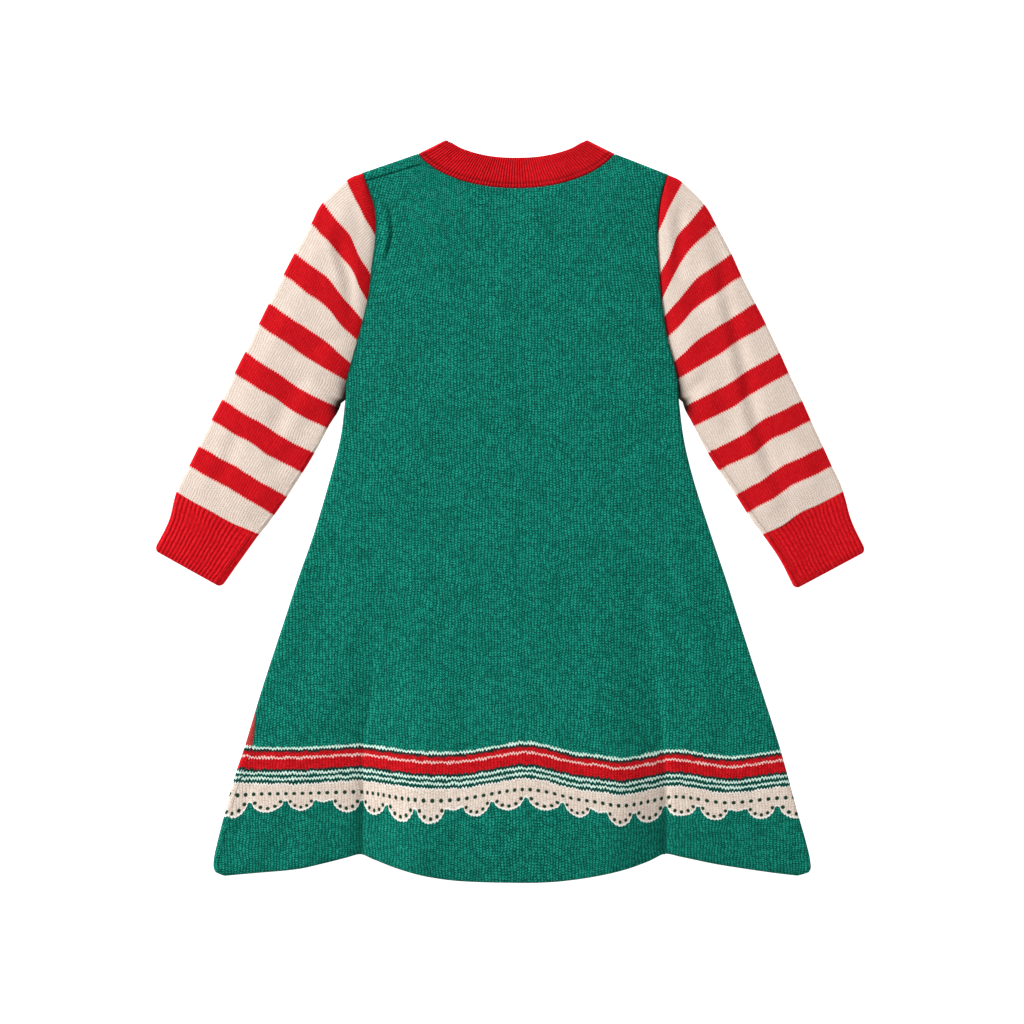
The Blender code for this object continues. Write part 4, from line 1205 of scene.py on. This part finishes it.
def stripeYarn(tree, u, v, leg):
    place = addNode(tree, "CombineXYZ", (u, v))
    sway = addNode(tree, "TexNoise", {"Vector": place, "Scale": stripes["swayScale"],
                                      "Detail": 1.0})
    swayed = addNode(tree, "Math", (sway, stripes["sway"], stripes["shift"]),
                     operation="MULTIPLY_ADD")
    moved = addNode(tree, "Math", (v, swayed), operation="ADD")
    stepped = addNode(tree, "Math", (leg, stripes["tooth"], moved), operation="MULTIPLY_ADD")
    topped = addNode(tree, "Math", (stepped, stripes["firstRed"]), operation="MAXIMUM")
    pairs = addNode(tree, "Math", (topped, stripes["pair"]), operation="DIVIDE")
    share = addNode(tree, "Math", (pairs,), operation="FRACT")
    edge, blush = stripes["cream"] / stripes["pair"], stripes["blush"] / stripes["pair"]
    shown = [yarnChanges(tree, share, [(0.0, yarns["blush"]), (blush, yarns["cream" + kind]),
                                       (edge - blush, yarns["blush"]), (edge, yarns["red" + kind])])
             for kind in kinds]
    # the painted shade colours under the cream and the red
    deep = yarnChanges(tree, share, [(0.0, yarns["creamPaintedShade"]), (edge, yarns["redPaintedShade"])])
    return shown + [deep]


# The lace's lower edge over one scallop: share of its width, share of the lace's
# depth. A notch is higher than the scallops, and every fourth one is wide.
scallopShape = [
    (0.0, 0.58), (0.06, 0.60), (0.09, 0.72), (0.16, 0.83), (0.26, 0.92), (0.38, 0.98), (0.5, 1.0),
    (0.62, 0.98), (0.74, 0.92), (0.84, 0.83), (0.91, 0.72), (0.94, 0.60), (1.0, 0.58),
]
wideNotch = 0.5, 0.66
# where the four scallops start and end, as shares of the four together
scallopEnds = [(0.0, 0.25), (0.25, 0.45), (0.55, 0.75), (0.75, 1.0)]
# and how far across its own scallop a place lies
scallopPlaces = [
    (0.0, 0.0), (0.249, 1.0), (0.251, 0.0), (0.45, 1.0), (0.499, 0.93), (0.501, 0.07),
    (0.55, 0.0), (0.749, 1.0), (0.751, 0.0), (1.0, 1.0),
]


def scallopCurves(tree, repeats):
    # The lace's lower edge in mm, and the place across its scallop.
    four = addNode(tree, "Math", (repeats, 4.0), operation="DIVIDE")
    share = addNode(tree, "Math", (four,), operation="FRACT")
    points = []
    for start, end in scallopEnds:
        joined = points[-1:] == [(start, scallopShape[0][1])]
        points += [(mix(start, end, t), depth) for t, depth in scallopShape[joined:]]
        if end < wideNotch[0] and start > 0:
            points.append(wideNotch)
    nodes = []
    for line in (points, scallopPlaces):
        node = addNode(tree, "FloatCurve", {1: share})
        curve = node.mapping.curves[0]
        curve.points[0].location = line[0]
        curve.points[1].location = line[-1]
        for x, y in line[1:-1]:
            curve.points.new(x, y)
        for point in curve.points:
            point.handle_type = "VECTOR"
        node.mapping.update()
        nodes.append(node)
    edge = addNode(tree, "Math", (nodes[0], knitChart["laceDepth"], knitChart["bandDepth"]),
                   operation="MULTIPLY_ADD")
    return edge, nodes[1]


def dotMask(tree, acrossPlace, alongGap, pitch, radius):
    # 1 inside a small round dot, one to every pitch, and its edge 0.5 mm soft.
    cells = addNode(tree, "Math", (acrossPlace,), operation="FRACT")
    centred = addNode(tree, "Math", (cells, 0.5), operation="SUBTRACT")
    across = addNode(tree, "Math", (centred, pitch), operation="MULTIPLY")
    acrossSquared = addNode(tree, "Math", (across, across), operation="MULTIPLY")
    square = addNode(tree, "Math", (alongGap, alongGap, acrossSquared), operation="MULTIPLY_ADD")
    distance = addNode(tree, "Math", (square,), operation="SQRT")
    return addNode(tree, "MapRange", (distance, radius - 0.25, radius + 0.25, 1.0, 0.0))


def laceDots(tree, repeats, inScallop, v):
    # A straight row of dots, and five along each scallop.
    row = addNode(tree, "Math", (repeats, knitChart["rowDots"]), operation="MULTIPLY")
    rowGap = addNode(tree, "Math", (v, knitChart["rowDotsDown"]), operation="SUBTRACT")
    pitch = knitChart["repeat"] / knitChart["rowDots"]
    dots = dotMask(tree, row, rowGap, pitch, knitChart["rowDotSize"])
    for across, depth in knitChart["scallopDots"]:
        shifted = addNode(tree, "Math", (inScallop, 0.5 - across), operation="ADD")
        gap = addNode(tree, "Math", (v, knitChart["bandDepth"] + depth), operation="SUBTRACT")
        dot = dotMask(tree, shifted, gap, knitChart["dotPitch"], knitChart["dotSize"])
        dots = addNode(tree, "Math", (dots, dot), operation="MAXIMUM")
    return dots


# The knitted-in border: where each yarn starts, in mm below its first line. The
# lines are zigzags, stepping from wale to wale.
border = {
    "yarns": [
        (-0.9, "mint"), (0.8, "bandEdge"), (2.9, "red"), (6.25, "pink"), (7.6, "red"),
        (15.4, "bandEdge"), (17.0, "lineGreen"), (17.8, "mint"), (19.5, "lineGreen"),
        (22.0, "mint"), (23.7, "lineGreen"), (26.2, "laceRim"), (27.1, "lace"),
    ],
    "span": (-2.0, 30.0),
    "tooth": 1.5,                # mm that a line steps from wale to wale
    "drift": 3.6,                # and drifts, in all
    "driftScale": 0.2,
    "edgeSteps": 0.55,           # how much of that the scallops' edge takes
    "rim": (-1.5, -1.1),         # the lace's lighter rim, above its edge
    # the rim's yarn, the dots' and that of the ground below: each yarn's own
    # colour, then its painted shade and its painted highlight
    "patches": [("laceRim", "dot", "green"), ("creamLight", "dot", "greenDark"),
                ("laceRim", "greenDark", "greenLight")],
    # painted shade inside the front's seams:
    "deep": 0.75,                # how dark it is inside a seam
}


def borderYarn(above, aboveFrom):
    # above is the yarn over the first line, from aboveFrom down to it.
    def colourOf(tree, u, v, leg):
        place = addNode(tree, "CombineXYZ", (u, v))
        rough = addNode(tree, "TexNoise", {"Vector": place, "Scale": border["driftScale"],
                                           "Detail": 2.0})
        tooth = addNode(tree, "Math", (leg, border["tooth"], -border["tooth"] / 2),
                        operation="MULTIPLY_ADD")
        drift = addNode(tree, "Math", (rough, border["drift"], -border["drift"] / 2),
                        operation="MULTIPLY_ADD")
        step = addNode(tree, "Math", (tooth, drift), operation="ADD")
        stepped = addNode(tree, "Math", (v, step), operation="ADD")
        first, last = border["span"]
        share = addNode(tree, "MapRange", (stepped, first, last, 0.0, 1.0))
        bands = []
        for kind in kinds:
            changes = [((start - first) / (last - first), yarns.get(yarn + kind, yarns[yarn]))
                       for start, yarn in [(first, above)] + border["yarns"]]
            shown = yarnChanges(tree, share, changes)
            if above != "green":
                plain = addNode(tree, "Math", (v, aboveFrom), operation="LESS_THAN")
                mixed = addNode(tree, "Mix", {"Factor": plain, 6: shown,
                                              7: toLinear(yarns["green" + kind])}, data_type="RGBA")
                shown = mixed.outputs[2]
            bands.append(shown)
        chart = addNode(tree, "Attribute", (), attribute_name="chartPlace")
        repeats = chart.outputs["Fac"]
        edge, inScallop = scallopCurves(tree, repeats)
        halfStep = addNode(tree, "Math", (step, border["edgeSteps"], v), operation="MULTIPLY_ADD")
        below = addNode(tree, "Math", (halfStep, edge), operation="SUBTRACT")
        outside = addNode(tree, "MapRange", (below, -0.2, 0.2, 0.0, 1.0))
        rim = addNode(tree, "MapRange", (below, *border["rim"], 0.0, 1.0))
        dots = laceDots(tree, repeats, inScallop, v)
        inLace = addNode(tree, "Math", (v, knitChart["bandDepth"] + 2), operation="GREATER_THAN")
        rimShare, outShare, dotShare = [addNode(tree, "Math", (mask, inLace), operation="MULTIPLY")
                                        for mask in (rim, outside, dots)]
        finished = []
        for shown, patches in zip(bands, border["patches"]):
            for mask, yarn in zip((rimShare, dotShare, outShare), patches):
                mixed = addNode(tree, "Mix", {"Factor": mask, 6: shown, 7: toLinear(yarns[yarn])},
                                data_type="RGBA")
                shown = mixed.outputs[2]
            finished.append(shown)
        # the painted shade colour, towards deep green
        deep = addNode(tree, "Mix", {"Factor": border["deep"], 6: finished[0],
                                     7: toLinear(yarns["greenPaintedShade"])}, data_type="RGBA")
        return finished + [deep.outputs[2]]
    return colourOf


# Building the pieces.

back = buildPanel("backPanel", 1, body["backNeckDrop"],
                  bodyColumns(body["columnSteps"], body["leftTurns"], body["turns"]),
                  bodyRows(body["rowStep"], body["backShoulder"]), flip=False)
front = buildPanel("frontPanel", -1, body["frontNeckDrop"],
                   bodyColumns(body["frontColumnSteps"], body["turns"], body["turns"]),
                   bodyRows(body["frontRowStep"], body["frontShoulder"]), flip=True)
sleeveLeft = buildSleeve("sleeveLeft", leftCourses, leftSleeveCreases,
                         sink=0.6, hollow=7.5, flip=False, seed=11.0)
sleeveRight = buildSleeve("sleeveRight", rightCourses, rightSleeveCreases,
                          sink=1.7, hollow=5.2, flip=True, seed=23.0)
cuffLeft = buildCuff("cuffLeft", leftCourses, seamDark=0.6, flip=False, seed=31.0)
cuffRight = buildCuff("cuffRight", rightCourses, seamDark=0.0, flip=True, seed=37.0)
collarRib = buildCollar()

# The hidden front has a plain red band above its border, from this far up.
frontBandFrom = -62.0
greenKnit = knitMaterial("greenCottonStockinette", bodyKnit, borderYarn("green", 0.0))
frontKnit = knitMaterial("frontCottonStockinette", bodyKnit, borderYarn("sideRed", frontBandFrom))
stripeKnit = knitMaterial("stripedCottonStockinette", sleeveKnit, stripeYarn)
redRib = knitMaterial("redCottonRib", ribKnit, ribYarn)

parts = [
    (back, "back", "green_knit", greenKnit), (front, "front", "green_knit", frontKnit),
    (sleeveLeft, "sleeve_left", "striped_knit", stripeKnit),
    (sleeveRight, "sleeve_right", "striped_knit", stripeKnit),
    (cuffLeft, "cuff_left", "red_rib", redRib), (cuffRight, "cuff_right", "red_rib", redRib),
    (collarRib, "collar", "red_rib", redRib),
]
for piece, node, slot, material in parts:
    piece.data.materials.clear()
    piece.data.materials.append(material)
    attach(piece, "root")
    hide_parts(node)

# The floor, the soft light and the camera.

studio = {
    "floorHalf": 3.0,
    "floorBelow": 0.0002,        # so that it never shows through the cloth
    "paperGlow": 0.9,            # brings the paper out white, as in a cut-out photo
    "fill": 0.42,                # light from all round
    # place and size in metres, watts
    "keyLight": ((-2.8, 2.1, 1.75), 1.2, 146),   # low, from the upper left
    "topLight": ((0.2, 0.3, 2.6), 2.0, 10),
    "cameraHeight": 3.0,         # over the cloth's mean height
    "clothHeight": 0.006,
    "centre": (0.0016, -0.00055),
    "pixel": 0.75,               # mm of the garment to a pixel
    "pixels": 1024,
    "sensor": 36.0,
}
bpy.ops.object.select_all(action="DESELECT")
bpy.ops.mesh.primitive_plane_add(size=2 * studio["floorHalf"],
                                 location=(0, 0, -studio["floorBelow"]))
floor = bpy.context.active_object
floor.name = "floor"
# Matt white paper, so bright that only a faint shadow shows on it.
paper = bpy.data.materials.new("whitePaper")
paper.use_nodes = True
paperShader = paper.node_tree.nodes["Principled BSDF"]
paperShader.inputs["Base Color"].default_value = toLinear("#F8F8F8")
paperShader.inputs["Roughness"].default_value = 0.9
paperShader.inputs["Emission Color"].default_value = (1, 1, 1, 1)
paperShader.inputs["Emission Strength"].default_value = studio["paperGlow"]
floor.data.materials.append(paper)

world = bpy.data.worlds.new("studio")
bpy.context.scene.world = world
world.use_nodes = True
background = world.node_tree.nodes["Background"]
background.inputs["Color"].default_value = (1, 1, 1, 1)
background.inputs["Strength"].default_value = studio["fill"]
# the yarns' colours are matched to the photo as they are, with no film look over them
bpy.context.scene.view_settings.view_transform = "Standard"

for name in ("keyLight", "topLight"):
    location, size, power = studio[name]
    bpy.ops.object.light_add(type="AREA", location=location)
    softBox = bpy.context.active_object
    softBox.name = name
    softBox.data.size = size
    softBox.data.energy = power
    softBox.rotation_euler = Vector(location).to_track_quat("Z", "Y").to_euler()

cameraPlace = (*studio["centre"], studio["cameraHeight"] + studio["clothHeight"])
bpy.ops.object.camera_add(location=cameraPlace)
camera = bpy.context.active_object
camera.name = "camera"
camera.data.sensor_width = studio["sensor"]
pictureWidth = studio["pixels"] / 1000 * studio["pixel"]
camera.data.lens = studio["sensor"] * studio["cameraHeight"] / pictureWidth
bpy.context.scene.camera = camera
print("floor, light and camera set")

print("scene ready")
